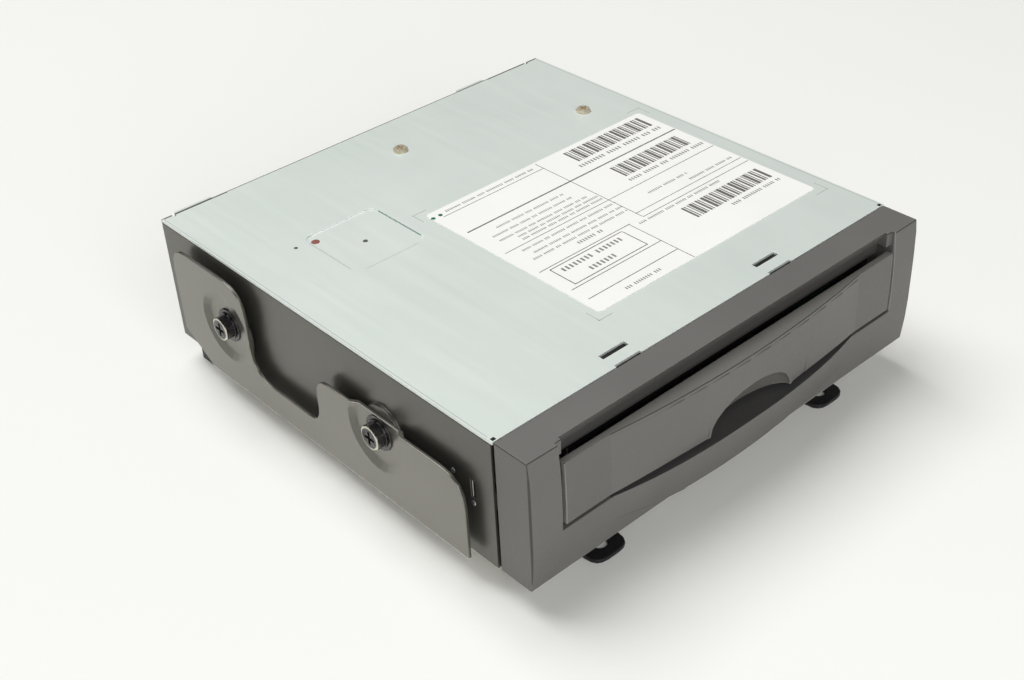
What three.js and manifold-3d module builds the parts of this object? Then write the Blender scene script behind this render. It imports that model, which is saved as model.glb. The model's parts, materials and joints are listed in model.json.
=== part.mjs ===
// Car navigation disc reader: a slot-loading disc drive in a single-height car radio housing.
// Millimetres, +Z up, the front looks along -Y. The origin lies under the middle of the housing.
// Heights and depths inside the unit count from its underside and from the seam behind the bezel.

import * as THREE from 'three';
import { mergeVertices } from 'three/addons/utils/BufferGeometryUtils.js';
import Module from 'manifold-3d';

const wasm = await Module();
wasm.setup();

// Housing and general clearances
const chassisWidth = 178;
const chassisDepth = 172.2;
const chassisHeight = 48.3;
const footHeight = 10.5;
const sheet = 1;
const seatGap = 0.3;
const pinGap = 0.15;
const overrun = 1;
const weldDistance = 0.0001;

// Tray
const frontWallHeight = 14;
const flangeWidth = 4;
const flangeStart = 12;
const sideSlotStart = 7.9;
const sideSlotLength = 2.2;
const sideSlotFoot = 21.9;
const sideSlotHeight = 6.7;
const bossRadius = 3;
const bossBore = 1.2;
const bossSide = 68;
const frontBossPlace = 30;
const rearBossPlace = 160;
const mountPostSide = 81;
const frontPostPlace = 16;
const rearPostPlace = 144;
const mountPostRadius = 3.5;
const mountNeckRadius = 2;
const mountLipRadius = 2.5;
const mountLipHeight = 1;
const nutRadius = 4.4;
const nutHeight = 2.5;
const standoffRadius = 3;
const rearStandoffX = 0.3;
const rearStandoffY = 150.4;
const sideStandoffX = 68.6;
const sideStandoffY = 123.6;

// Cover
const coverOverhang = 0.7;
const coverSlotInner = 29.3;
const coverSlotOuter = 40.1;
const coverSlotStart = 4.7;
const coverSlotLength = 2.2;
const coverNotchDepth = 0.95;
const padX = -47.3;
const padY = 110.3;
const padWidth = 29.5;
const padLength = 30.5;
const padCorner = 3.5;
const padDepth = 0.4;
const wideTabStart = -82.9;
const wideTabEnd = -68.1;
const smallTabStart = 47;
const smallTabEnd = 60.3;
const tabDrop = 7;
const reliefWidth = 1.2;
const reliefDepth = 1.6;
const leftReliefX = -84.2;
const rightReliefX = 83;
const coverHeadRadius = 2.9;
const coverHeadHeight = 1.3;
const coverShankRadius = 1.15;
const coverShankLength = 5;
const coverHoleRadius = 1.5;
const coverCrossLength = 3.2;
const coverCrossWidth = 0.7;
const coverCrossDepth = 0.8;
const labelLeft = -23.8;
const labelRight = 81.6;
const labelFront = 22.6;
const labelRear = 107;
const labelThickness = 0.15;
const labelCorner = 1;

// Bezel
const bezelWidth = 177.2;
const bezelDrop = 0.1;
const bezelUnderhang = 0.2;
const seamGap = 0.9;
const bezelReach = 15.5;
const faceRadius = 200;
const faceCrown = 26;
const bezelCorner = 1.5;
const bezelWall = 2.3;
const recessHalf = 76.7;
const pilasterWidth = 2.4;
const pilasterReach = 13;
const pilasterFoot = 42.9;
const shelfHeight = 17.2;
const windowTop = 38;
const coveDepth = 7.6;
const coveTopReach = 12;
const coveBowShare = 0.18;
const coveRiseShare = 0.55;
const lipHalf = 56;
const lipToeHalf = 31;
const lipEndRise = 7.7;
const lipReach = 5.3;
const lipToeReach = 1.7;
const hollowInner = 24;
const hollowOuter = 74;
const hookInner = 29.8;
const hookOuter = 39.6;
const hookLength = 6.6;
const hookFoot = 45.8;
const hookThickness = 1.1;
const hookNubLength = 0.9;
const hookNubHeight = 1;
const snapLength = 9.8;
const snapThickness = 1.8;
const snapNubLength = 1.6;
const snapNubReach = 1;

// Flap
const flapHalf = 75.4;
const flapFoot = 18.7;
const flapTop = 41.2;
const flapProud = 0.1;
const flapCreaseHalf = 57.5;
const flapBowTop = 3.9;
const flapBowFoot = 3;
const flapSkin = 1.4;
const ledgeThickness = 1.4;
const ledgeReach = 12.8;
const flapCapWidth = 2;
const flapCapFoot = 2.6;
const hingeReach = 12.2;
const hingeHeight = 38.4;
const hingeBossRadius = 2.2;
const flapPinRadius = 1;
const flapPinTip = 69;
const flapPinHold = 1.8;
const springPocketRadius = 1.9;
const flapSpringRadius = 1.5;
const flapSpringWire = 0.2;
const flapSpringWidth = 2.8;
const flapSpringLeg = 2.4;
const notchMiddle = 1.5;
const notchHalf = 18.8;
const notchHeight = 11;
const pocketReach = 18.4;
const pocketDepth = 6.4;
const pocketWall = 1.2;

// Fascia behind the flap, with its felts, button, light and small board
const fasciaHalf = 79;
const fasciaFoot = 8;
const fasciaTop = 44;
const fasciaReach = 4.6;
const fasciaThickness = 2;
const discSlotHalf = 63;
const discHeight = 30;
const discSlotHeight = 6.2;
const feltThickness = 1.2;
const feltLap = 0.5;
const feltWidth = 2.4;
const feltHalf = 65;
const buttonX = 66;
const buttonWidth = 12;
const buttonTall = 4.6;
const buttonProud = 1.8;
const buttonFlange = 1;
const buttonFeltGap = 0.2;
const buttonFlangeThickness = 0.7;
const buttonCorner = 1;
const buttonSpringRadius = 1.5;
const buttonSpringWire = 0.2;
const lightX = 54;
const lightRadius = 1.5;
const lightProud = 0.8;
const lightCollarRadius = 2.2;
const lightCollarThickness = 0.7;
const smallBoardLeft = 48;
const smallBoardRight = 78;
const smallBoardBelow = 8.5;
const smallBoardAbove = 3.9;
const smallBoardFront = 1.6;
const smallBoardThickness = 1.6;
const fasciaPostRadius = 1.4;
const fasciaPostInset = 2.4;

// Side brackets with their screws and washers
const standOff = 4;
const bracketSheet = 1.2;
const bracketFront = 8.6;
const bracketRear = 161.5;
const bracketFoot = 0.6;
const frontEarTop = 30.5;
const valleyHeight = 11.3;
const valleyFront = 80.3;
const rearEarFront = 118.5;
const rearEarTop = 44.1;
const chamferStart = 146;
const chamferHeight = 10;
const wideCorner = 11;
const rearCorner = 9;
const valleyCorner = 7;
const dishRimRadius = 13.6;
const dishFloorRadius = 11.3;
const dishDepth = 1.6;
const wallSeatRadius = 9;
const frontScrewPlace = 49.8;
const rearScrewPlace = 132;
const screwHeight = 24.5;
const screwRadius = 2.4;
const screwHoleRadius = 2.7;
const screwHeadFlats = 8;
const screwHeadHeight = 3;
const screwLength = 9;
const crossLength = 5;
const crossWidth = 1.1;
const crossDepth = 1.5;
const headRimHeight = 0.5;
const flatWasherRadius = 6.2;
const flatWasherThickness = 0.5;
const lockWasherRadius = 4.9;
const lockWasherThickness = 0.6;
const lockWasherSplit = 0.9;

// Foot brackets
const footSheet = 1.5;
const earInner = 46;
const earOuter = 60.7;
const earReach = 12.5;
const earCornerRadius = 5;
const earHoleRadius = 2.5;
const earHoleReach = 6.1;
const frontLegPlace = 6;
const frontStripDepth = 16;
const rearStripStart = 158;
const rearStripDepth = 10;
const rearFootHalf = 85.8;
const rearFootWidth = 20;
const rearFootHole = 2.6;

// Main board, chip and rear sockets
const boardHeight = 5;
const boardThickness = 1.6;
const boardHalf = 74.5;
const boardStart = 22;
const boardEnd = 168;
const chipX = -38;
const chipY = 118;
const chipSize = 30;
const chipThickness = 2.5;
const chipChamfer = 1.5;
const cableBlockLength = 5;
const cableBlockHeight = 2.2;
const socketStart = 159;
const socketProud = 2;
const socketDepth = 9;
const socketWall = 1.4;
const powerLeft = -60;
const powerRight = -20;
const powerTall = 14;
const powerPins = 8;
const powerPinSide = 0.9;
const opticalLeft = -8;
const opticalRight = 14;
const opticalTall = 10;
const opticalFerrule = 1.6;
const antennaX = 40;
const antennaHeight = 14;
const antennaRadius = 5.2;
const antennaBore = 3.6;
const antennaPin = 0.6;
const antennaBase = 12;
const antennaBaseLength = 9;

// Floating mechanism frame
const deckHeight = 20;
const deckSheet = 1.6;
const deckHalf = 74;
const deckFront = 4;
const deckRear = 156;
const wallSheet = 1.2;
const wallTop = 37.2;
const wallRear = 148;
const bridgeRear = 24;
const deckEarReach = 87;
const deckEarHalf = 6;
const openingLeft = -34;
const openingRight = 27;
const openingFront = 84;
const openingRear = 148;
const tabThickness = 1.6;
const tabFoot = 12;
const tabInner = 14;
const standoffClearance = 1;
const uprightInner = 38;
const uprightSheet = 1.6;
const uprightHalf = 4;
const uprightTop = 38.8;
const gearOpeningLeft = 59.5;
const gearOpeningRight = 72;
const gearOpeningRear = 34;
const motorTabLeft = 55;
const motorTabFoot = 7.6;
const damperRadius = 5;
const damperGroove = 3.6;
const damperCrown = 4.2;
const damperHalf = 3;
const grooveClearance = 0.3;

// Spindle, turntable and clamp
const spindleY = 75;
const spindleCanRadius = 12;
const spindleFoot = 14.5;
const spindleFlangeRadius = 14.5;
const spindleFlangeThickness = 1;
const spindleNeckRadius = 6;
const spindleNeckHeight = 2.1;
const spindleShaftRadius = 1;
const spindleShaftTop = 28;
const turntableRadius = 15;
const turntableFoot = 26.2;
const turntableTop = 29.3;
const hubRadius = 7.3;
const hubTipRadius = 5.6;
const hubTop = 31.2;
const turntableBoreTop = 29.4;
const clamperFoot = 31.6;
const clamperRadius = 13;
const clamperThickness = 1.8;
const clamperNeckRadius = 4;
const clamperCapRadius = 6.5;
const clamperCapThickness = 1;
const clamperPlay = 0.4;
const clamperHoleGap = 0.4;
const armFoot = 35.6;
const armSheet = 1.2;
const armNoseRadius = 16;
const armRearHalf = 36.5;
const armShoulder = 118;
const armRear = 143;
const pivotY = 138;
const pivotRadius = 1.2;

// Pickup drive
const rodSide = 21;
const rodHeight = 17;
const rodRadius = 1.5;
const rodFront = 82.9;
const rodRear = 149.2;
const sledY = 100;
const sledHalfWidth = 25;
const sledHalfLength = 11;
const sledFoot = 13.2;
const sledTop = 21;
const nutArmReach = 31.5;
const nutArmHalf = 4;
const nutArmTop = 18.6;
const nutArmFoot = 11.8;
const lensRadius = 4;
const lensTop = 26.4;
const lensWindowRadius = 2.6;
const lensCrown = 0.5;
const lensStepHeight = 2.6;
const lensBaseRadius = 6;
const leadX = -28;
const leadHeight = 15;
const leadRoot = 1.15;
const leadCrest = 1.6;
const leadPitch = 3;
const leadStart = 84.3;
const leadEnd = 148.8;
const sledMotorRadius = 4.5;
const sledMotorLength = 16;
const motorShaftRadius = 0.75;
const cableLeft = 2;
const cableRight = 12;
const cableThickness = 0.3;
const cableDrop = 0.4;
const cableLoopFront = 90;
const cableEnd = 117;

// Loading drive
const rollerY = 12;
const rollerHeight = 26;
const shaftRadius = 1.2;
const shaftHalf = 76;
const rollerHalf = 60;
const rollerEndRadius = 2.9;
const rollerWaistRadius = 2.2;
const gearModule = 0.5;
const rollerTeeth = 28;
const idlerTeeth = 24;
const wheelTeeth = 32;
const gearLeft = 66;
const gearRight = 70;
const hubSide = 71.8;
const idlerDip = 1.8;
const wheelLeft = 61.5;
const wheelRight = 64.5;
const wheelBossLeft = 60.8;
const idlerPinRadius = 1.2;
const idlerPinTip = 60.2;
const gearHubRadius = 3;
const wormX = 63;
const wormFront = 18.5;
const wormRear = 32.4;
const wormRoot = 1.6;
const wormCrest = 2.3;
const loadMotorRadius = 5.5;
const loadMotorLength = 19;
const motorBossRadius = 2;
const motorBossHeight = 1.2;

// Counts of facets, turns and teeth parts
const fineSides = 24;
const roundSides = 16;
const smallSides = 10;
const bendSteps = 4;
const faceSteps = 6;
const lipSteps = 16;
const flapSteps = 12;
const flapLevels = 3;
const threadSteps = 4;
const threadSides = 6;
const springSides = 3;
const springSteps = 8;
const boreSegments = 5;
const flapSpringTurns = 3;
const buttonSpringTurns = 4;
const lipBowPower = 2.5;

// Shares of a gear tooth
const tipWidthShare = 0.12;
const rootWidthShare = 0.34;
const tipHeightShare = 0.8;
const rootDepthShare = 1.2;

// Sizes worked out from the ones above
const chassisHalf = chassisWidth / 2;
const wallSeat = standOff - dishDepth - bracketSheet;
const trayTop = chassisHeight - sheet;
const bezelTop = chassisHeight - bezelDrop;
const bezelHalf = bezelWidth / 2;
const boardTop = boardHeight + boardThickness;
const deckTop = deckHeight + deckSheet;
const fasciaBack = -fasciaReach + fasciaThickness;
const feltFoot = discHeight - discSlotHeight / 2 + feltLap - feltWidth;
const buttonHeight = feltFoot - buttonFeltGap - buttonFlange - buttonTall / 2;
const smallBoardFoot = buttonHeight - smallBoardBelow;
const smallBoardTop = buttonHeight + smallBoardAbove;
const armTop = armFoot + armSheet;
const armMiddle = armFoot + armSheet / 2;
const socketEnd = chassisDepth + socketProud;
const lipFront = lipReach + bezelReach - (shelfHeight - faceCrown) ** 2 / (2 * faceRadius);
const seamY = (lipFront - socketEnd) / 2;
const frontClear = bezelReach + lipReach + overrun;
const gearDistance = gearModule * (rollerTeeth + idlerTeeth) / 2;
const idlerY = rollerY + Math.sqrt(gearDistance ** 2 - idlerDip ** 2);
const idlerHeight = rollerHeight - idlerDip;
const wheelTipRadius = gearModule * (wheelTeeth / 2 + tipHeightShare);
const wormHeight = idlerHeight - wheelTipRadius - wormCrest - seatGap;

const mirrored = (half) => [-half, half];
const span = (middle, size) => [middle - size / 2, middle + size / 2];
const onSide = (side, range) => range.map((value) => side * value).sort((a, b) => a - b);

// Closed mesh to solid and back
function solid(geometry) {
  const bare = geometry.clone();
  bare.deleteAttribute('normal');
  bare.deleteAttribute('uv');
  const merged = mergeVertices(bare, weldDistance);
  const vertProperties = new Float32Array(merged.attributes.position.array);
  const triVerts = new Uint32Array(merged.index.array);
  return new wasm.Manifold(new wasm.Mesh({ numProp: 3, vertProperties, triVerts }));
}

function surface(body) {
  const { vertProperties, triVerts } = body.getMesh();
  const geometry = new THREE.BufferGeometry();
  geometry.setAttribute('position', new THREE.BufferAttribute(vertProperties, 3));
  geometry.setIndex(new THREE.BufferAttribute(triVerts, 1));
  geometry.computeVertexNormals();
  return geometry;
}

const join = (...bodies) => bodies.reduce((all, next) => all.add(next));
const cut = (body, ...tools) => tools.reduce((rest, tool) => rest.subtract(tool), body);

// A block between two planes in each direction
function block([x0, x1], [y0, y1], [z0, z1]) {
  const geometry = new THREE.BoxGeometry(x1 - x0, y1 - y0, z1 - z0);
  return solid(geometry.translate((x0 + x1) / 2, (y0 + y1) / 2, (z0 + z1) / 2));
}

// An outline from corners, each with an optional fillet: [u, v, radius]
function outline(corners) {
  const shape = new THREE.Shape();
  corners.forEach(([u, v, radius = 0], i) => {
    const here = new THREE.Vector2(u, v);
    const before = new THREE.Vector2(...corners.at(i - 1)).sub(here);
    const after = new THREE.Vector2(...corners[(i + 1) % corners.length]).sub(here);
    const reach = radius / Math.tan(Math.abs(before.angleTo(after)) / 2);
    const start = here.clone().addScaledVector(before.normalize(), reach);
    const end = here.clone().addScaledVector(after.normalize(), reach);
    if (i === 0) shape.moveTo(start.x, start.y);
    else shape.lineTo(start.x, start.y);
    if (radius > 0) shape.quadraticCurveTo(here.x, here.y, end.x, end.y);
  });
  return shape;
}

const plate = ([u0, u1], [v0, v1], radius) => outline([
  [u0, v0, radius], [u1, v0, radius], [u1, v1, radius], [u0, v1, radius]]);

// Extrusions of an outline: along X it lies in (y, z), along Y in (x, z), along Z in (x, y)
function extruded(shape, depth, steps = bendSteps) {
  return new THREE.ExtrudeGeometry(shape, { depth, bevelEnabled: false, curveSegments: steps });
}

function barX(shape, [x0, x1], steps) {
  const turn = new THREE.Matrix4().makeBasis(
    new THREE.Vector3(0, 1, 0), new THREE.Vector3(0, 0, 1), new THREE.Vector3(1, 0, 0));
  return extruded(shape, x1 - x0, steps).applyMatrix4(turn).translate(x0, 0, 0);
}

const prismX = (shape, range, steps) => solid(barX(shape, range, steps));

function prismY(shape, [y0, y1], steps) {
  return solid(extruded(shape, y1 - y0, steps).rotateX(Math.PI / 2).translate(0, y1, 0));
}

function prismZ(shape, [z0, z1], steps) {
  return solid(extruded(shape, z1 - z0, steps).translate(0, 0, z0));
}

// Round bars along one direction
function rodX(radius, [x0, x1], y, z, sides = smallSides) {
  const bar = new THREE.CylinderGeometry(radius, radius, x1 - x0, sides).rotateZ(Math.PI / 2);
  return solid(bar.translate((x0 + x1) / 2, y, z));
}

function rodY(radius, [y0, y1], x, z, sides = smallSides) {
  const bar = new THREE.CylinderGeometry(radius, radius, y1 - y0, sides);
  return solid(bar.translate(x, (y0 + y1) / 2, z));
}

function rodZ(radius, [z0, z1], x, y, sides = smallSides) {
  const bar = new THREE.CylinderGeometry(radius, radius, z1 - z0, sides).rotateX(Math.PI / 2);
  return solid(bar.translate(x, y, (z0 + z1) / 2));
}

// A turned piece: the profile is [radius, height along the axis], from the low end to the high one
function turned(profile, sides) {
  return new THREE.LatheGeometry(profile.map(([r, h]) => new THREE.Vector2(r, h)), sides);
}

const turnedZ = (profile, x, y, sides = roundSides) => solid(
  turned(profile, sides).rotateX(Math.PI / 2).translate(x, y, 0));
const turnedY = (profile, x, z, sides = roundSides) => solid(
  turned(profile, sides).translate(x, 0, z));
const turnedOut = (side, profile, y, z, sides = roundSides) => solid(
  turned(profile, sides).rotateZ(-side * Math.PI / 2).translate(0, y, z));

// A skin through rings of points, one ring at each x, every ring anticlockwise in (y, z)
function lofted(rings) {
  const count = rings[0].points.length;
  const position = rings.flatMap(({ x, points }) => points.flatMap(([y, z]) => [x, y, z]));
  const index = [];
  for (let i = 0; i + 1 < rings.length; i += 1) {
    for (let j = 0; j < count; j += 1) {
      const next = (j + 1) % count;
      const a = i * count + j;
      const b = i * count + next;
      index.push(a, b, a + count, b, b + count, a + count);
    }
  }
  const last = (rings.length - 1) * count;
  const ends = [rings[0], rings.at(-1)].map(({ points }) => THREE.ShapeUtils.triangulateShape(
    points.map(([y, z]) => new THREE.Vector2(y, z)), []));
  ends[0].forEach(([a, b, c]) => index.push(a, c, b));
  ends[1].forEach(([a, b, c]) => index.push(last + a, last + b, last + c));
  const geometry = new THREE.BufferGeometry();
  geometry.setAttribute('position', new THREE.Float32BufferAttribute(position, 3));
  geometry.setIndex(index);
  return geometry;
}

// A screw thread along +X: a ridge that climbs one pitch in each turn
function threaded(root, crest, pitch, length) {
  const steps = Math.max(2, Math.round(length / pitch * threadSteps));
  const rings = [];
  for (let i = 0; i <= steps; i += 1) {
    const x = length * i / steps;
    const points = [];
    for (let j = 0; j < threadSides; j += 1) {
      const angle = 2 * Math.PI * j / threadSides;
      const ridge = (1 + Math.cos(2 * Math.PI * x / pitch - angle)) / 2;
      const radius = i === 0 || i === steps ? root : root + (crest - root) * ridge;
      points.push([radius * Math.cos(angle), radius * Math.sin(angle)]);
    }
    rings.push({ x, points });
  }
  return lofted(rings);
}

// A coil along +X from x0 to x1, with straight legs that leave it square to its axis
function coil(radius, wire, turns, [x0, x1], leg) {
  const path = [];
  const steps = turns * springSteps;
  if (leg > 0) path.push(new THREE.Vector3(x0, radius, -leg));
  for (let i = 0; i <= steps; i += 1) {
    const angle = 2 * Math.PI * i / springSteps;
    const x = x0 + (x1 - x0) * i / steps;
    path.push(new THREE.Vector3(x, radius * Math.cos(angle), radius * Math.sin(angle)));
  }
  if (leg > 0) path.push(new THREE.Vector3(x1, radius, leg));
  const section = new THREE.Shape().absarc(0, 0, wire, 0, 2 * Math.PI);
  return new THREE.ExtrudeGeometry(section, {
    extrudePath: new THREE.CatmullRomCurve3(path), steps: path.length,
    curveSegments: springSides, bevelEnabled: false });
}

// A spur gear's outline with its bore; the phase turns it by a share of one tooth
function gearShape(teeth, phaseShare, bore) {
  const pitchRadius = gearModule * teeth / 2;
  const tip = pitchRadius + gearModule * tipHeightShare;
  const root = pitchRadius - gearModule * rootDepthShare;
  const points = [];
  for (let i = 0; i < teeth; i += 1) {
    const corners = [[-rootWidthShare, root], [-tipWidthShare, tip],
      [tipWidthShare, tip], [rootWidthShare, root]];
    corners.forEach(([share, radius]) => {
      const angle = 2 * Math.PI * (i + phaseShare + share) / teeth;
      points.push(new THREE.Vector2(radius * Math.cos(angle), radius * Math.sin(angle)));
    });
  }
  const shape = new THREE.Shape(points);
  if (bore > 0) shape.holes.push(new THREE.Path().absarc(0, 0, bore, 0, 2 * Math.PI, true));
  return shape;
}

function gearX(teeth, phaseShare, bore, [x0, x1], y, z) {
  return solid(barX(gearShape(teeth, phaseShare, bore), [x0, x1], boreSegments).translate(0, y, z));
}

// The unit's pieces share one group, set on the foot brackets
const unit = new THREE.Group();
unit.position.set(0, seamY, footHeight);

const finishes = {
  zinc: [0xd8ddd6, 0.45, 0.75],
  darkZinc: [0x6b6a64, 0.5, 0.7],
  label: [0xf2f2ee, 0.6, 0],
  bezel: [0x6f706d, 0.55, 0],
  flap: [0x757570, 0.55, 0],
  darkPlastic: [0x2b2b2d, 0.6, 0],
  felt: [0x1c1c1e, 0.95, 0],
  button: [0x3a3b3d, 0.5, 0],
  clear: [0xd9e4de, 0.15, 0],
  board: [0x1f5a38, 0.6, 0],
  chip: [0x1b1b1d, 0.5, 0],
  bracket: [0x928e87, 0.35, 0.85],
  screw: [0x4a4a4c, 0.3, 0.9],
  blackSteel: [0x232126, 0.5, 0.4],
  yellowScrew: [0xb9a56b, 0.35, 0.85],
  steel: [0x9fa1a1, 0.3, 0.9],
  rubber: [0x161617, 0.9, 0],
  gear: [0xe7e3d4, 0.5, 0],
  brass: [0xb08d4a, 0.35, 0.9],
  socket: [0x202124, 0.55, 0],
  cable: [0xc9773c, 0.5, 0],
};

function add(name, body, finish) {
  const [color, roughness, metalness] = finishes[finish];
  const material = new THREE.MeshStandardMaterial({ color, roughness, metalness });
  const mesh = new THREE.Mesh(body instanceof THREE.BufferGeometry ? body : surface(body), material);
  mesh.name = name;
  unit.add(mesh);
}

const sides = { left: -1, right: 1 };
const standoffs = { rear: [rearStandoffX, rearStandoffY], side: [sideStandoffX, sideStandoffY] };
const screwPlaces = { front: frontScrewPlace, rear: rearScrewPlace };
const postPlaces = { front: frontPostPlace, rear: rearPostPlace };

// Tray: floor, four walls with seats for the brackets, turned-in rims, and riveted posts and nuts
function chassisTray() {
  const inner = chassisHalf - sheet;
  let tray = join(
    block(mirrored(chassisHalf), [0, chassisDepth], [0, sheet]),
    block(mirrored(chassisHalf), [0, sheet], [0, frontWallHeight]),
    block(mirrored(chassisHalf), [chassisDepth - sheet, chassisDepth], [0, trayTop]));
  for (const side of Object.values(sides)) {
    tray = join(tray,
      block(onSide(side, [inner, chassisHalf]), [0, chassisDepth], [0, trayTop]),
      block(onSide(side, [inner - flangeWidth, inner]), [flangeStart, chassisDepth],
        [trayTop - sheet, trayTop]));
    tray = cut(tray, block(onSide(side, [inner - overrun, chassisHalf + overrun]),
      [sideSlotStart, sideSlotStart + sideSlotLength],
      [sideSlotFoot, sideSlotFoot + sideSlotHeight]));
    for (const place of Object.values(screwPlaces)) {
      tray = join(tray, rodX(nutRadius, onSide(side, [inner - nutHeight, inner]),
        place, screwHeight, roundSides),
      rodX(wallSeatRadius, onSide(side, [inner, chassisHalf + wallSeat]), place, screwHeight,
        roundSides));
      tray = cut(tray, rodX(screwHoleRadius, onSide(side, [inner - nutHeight - overrun,
        chassisHalf + wallSeat + overrun]), place, screwHeight, roundSides));
    }
    for (const place of Object.values(postPlaces)) {
      const shoulder = deckHeight + deckSheet / 2 - damperHalf;
      const neckTop = deckHeight + deckSheet / 2 + damperHalf + seatGap;
      tray = join(tray, turnedZ([[0, sheet / 2], [mountPostRadius, sheet / 2],
        [mountPostRadius, shoulder], [mountNeckRadius, shoulder], [mountNeckRadius, neckTop],
        [mountLipRadius, neckTop], [mountLipRadius, neckTop + mountLipHeight],
        [0, neckTop + mountLipHeight]], side * mountPostSide, place, smallSides));
    }
    for (const place of [frontBossPlace, rearBossPlace]) {
      tray = join(tray, rodZ(bossRadius, [sheet / 2, boardHeight], side * bossSide, place));
      tray = cut(tray, rodZ(bossBore, [sheet, boardHeight + overrun], side * bossSide, place));
    }
  }
  for (const [x, y] of Object.values(standoffs)) {
    tray = join(tray, rodZ(standoffRadius, [sheet / 2, trayTop], x, y, 6));
    tray = cut(tray, rodZ(coverHoleRadius, [trayTop - coverShankLength - overrun,
      trayTop + overrun], x, y));
  }
  const rearWall = [chassisDepth - sheet - overrun, chassisDepth + overrun];
  return cut(tray,
    block([powerLeft - seatGap, powerRight + seatGap], rearWall,
      [boardTop - seatGap, boardTop + powerTall + seatGap]),
    block([opticalLeft - seatGap, opticalRight + seatGap], rearWall,
      [boardTop - seatGap, boardTop + opticalTall + seatGap]),
    rodY(antennaRadius + seatGap, rearWall, antennaX, antennaHeight, roundSides));
}

// Cover: flat sheet with the bezel's slots and notches, a sunk pad and two tabs over the rear wall
function topCover() {
  const top = [trayTop, chassisHeight];
  const through = [trayTop - overrun, chassisHeight + overrun];
  let cover = block(mirrored(chassisHalf), [-coverOverhang, chassisDepth], top);
  const tabs = [[wideTabStart, wideTabEnd], [smallTabStart, smallTabEnd]];
  for (const tab of tabs) {
    const outer = [chassisDepth + seatGap, chassisDepth + seatGap + sheet];
    cover = join(cover, block(tab, [chassisDepth - sheet, outer[1]], top),
      block(tab, outer, [chassisHeight - tabDrop, chassisHeight]));
  }
  for (const side of Object.values(sides)) {
    const width = onSide(side, [coverSlotInner, coverSlotOuter]);
    cover = cut(cover,
      block(width, [coverSlotStart, coverSlotStart + coverSlotLength], through),
      block(width, [-coverOverhang - overrun, -coverOverhang + coverNotchDepth], through));
  }
  for (const x of [leftReliefX, rightReliefX]) {
    cover = cut(cover, block(span(x, reliefWidth),
      [chassisDepth - reliefDepth, chassisDepth + overrun], through));
  }
  for (const [x, y] of Object.values(standoffs)) {
    cover = cut(cover, rodZ(coverHoleRadius, through, x, y));
  }
  const pad = plate(span(padX, padWidth), span(padY, padLength), padCorner);
  return cut(cover, prismZ(pad, [chassisHeight - padDepth, chassisHeight + overrun]));
}

function coverScrew(x, y) {
  const top = chassisHeight + coverHeadHeight;
  const screw = turnedZ([[0, chassisHeight - coverShankLength],
    [coverShankRadius, chassisHeight - coverShankLength], [coverShankRadius, chassisHeight],
    [coverHeadRadius, chassisHeight], [coverHeadRadius, chassisHeight + coverHeadHeight / 2],
    [coverHeadRadius - coverHeadHeight / 2, top], [0, top]], x, y, smallSides);
  const depth = [top - coverCrossDepth, top + overrun];
  return cut(screw,
    block(span(x, coverCrossLength), span(y, coverCrossWidth), depth),
    block(span(x, coverCrossWidth), span(y, coverCrossLength), depth));
}

// Bezel front: a cylinder of large radius, so the face leans back a little above and below its crown
const faceY = (z) => -bezelReach + (z - faceCrown) ** 2 / (2 * faceRadius);
const levels = (low, high, steps) => Array.from(
  { length: steps + 1 }, (_, i) => low + (high - low) * i / steps);

// Bulge of the lower lip: its front is ruled from the shelf's edge down to a rising crease
function lowerLip() {
  const rings = levels(-lipHalf, lipHalf, lipSteps).map((x) => {
    const away = Math.abs(x);
    const share = 1 - (away / lipHalf) ** lipBowPower;
    const rise = Math.max(0, (away - lipToeHalf) / (lipHalf - lipToeHalf));
    const foot = -bezelUnderhang + lipEndRise * rise;
    const toe = lipToeReach * Math.max(0, 1 - (away / lipToeHalf) ** 2);
    const back = -bezelReach + bezelWall;
    return { x, points: [[faceY(shelfHeight) - lipReach * share, shelfHeight],
      [faceY(foot) - toe, foot], [back, foot], [back, shelfHeight]] };
  });
  return solid(lofted(rings));
}

// The hollow in front of the fascia: a window below, a curved cove above
function recessOutline() {
  const bowY = -coveDepth - coveBowShare * (coveTopReach - coveDepth);
  const bowZ = windowTop + coveRiseShare * (bezelTop - windowTop);
  const shape = new THREE.Shape();
  shape.moveTo(-frontClear, shelfHeight);
  shape.lineTo(0, shelfHeight);
  shape.lineTo(0, windowTop);
  shape.lineTo(-coveDepth, windowTop);
  shape.quadraticCurveTo(bowY, bowZ, -coveTopReach, bezelTop);
  shape.lineTo(-coveTopReach, bezelTop + overrun);
  shape.lineTo(-frontClear, bezelTop + overrun);
  return shape;
}

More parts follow.
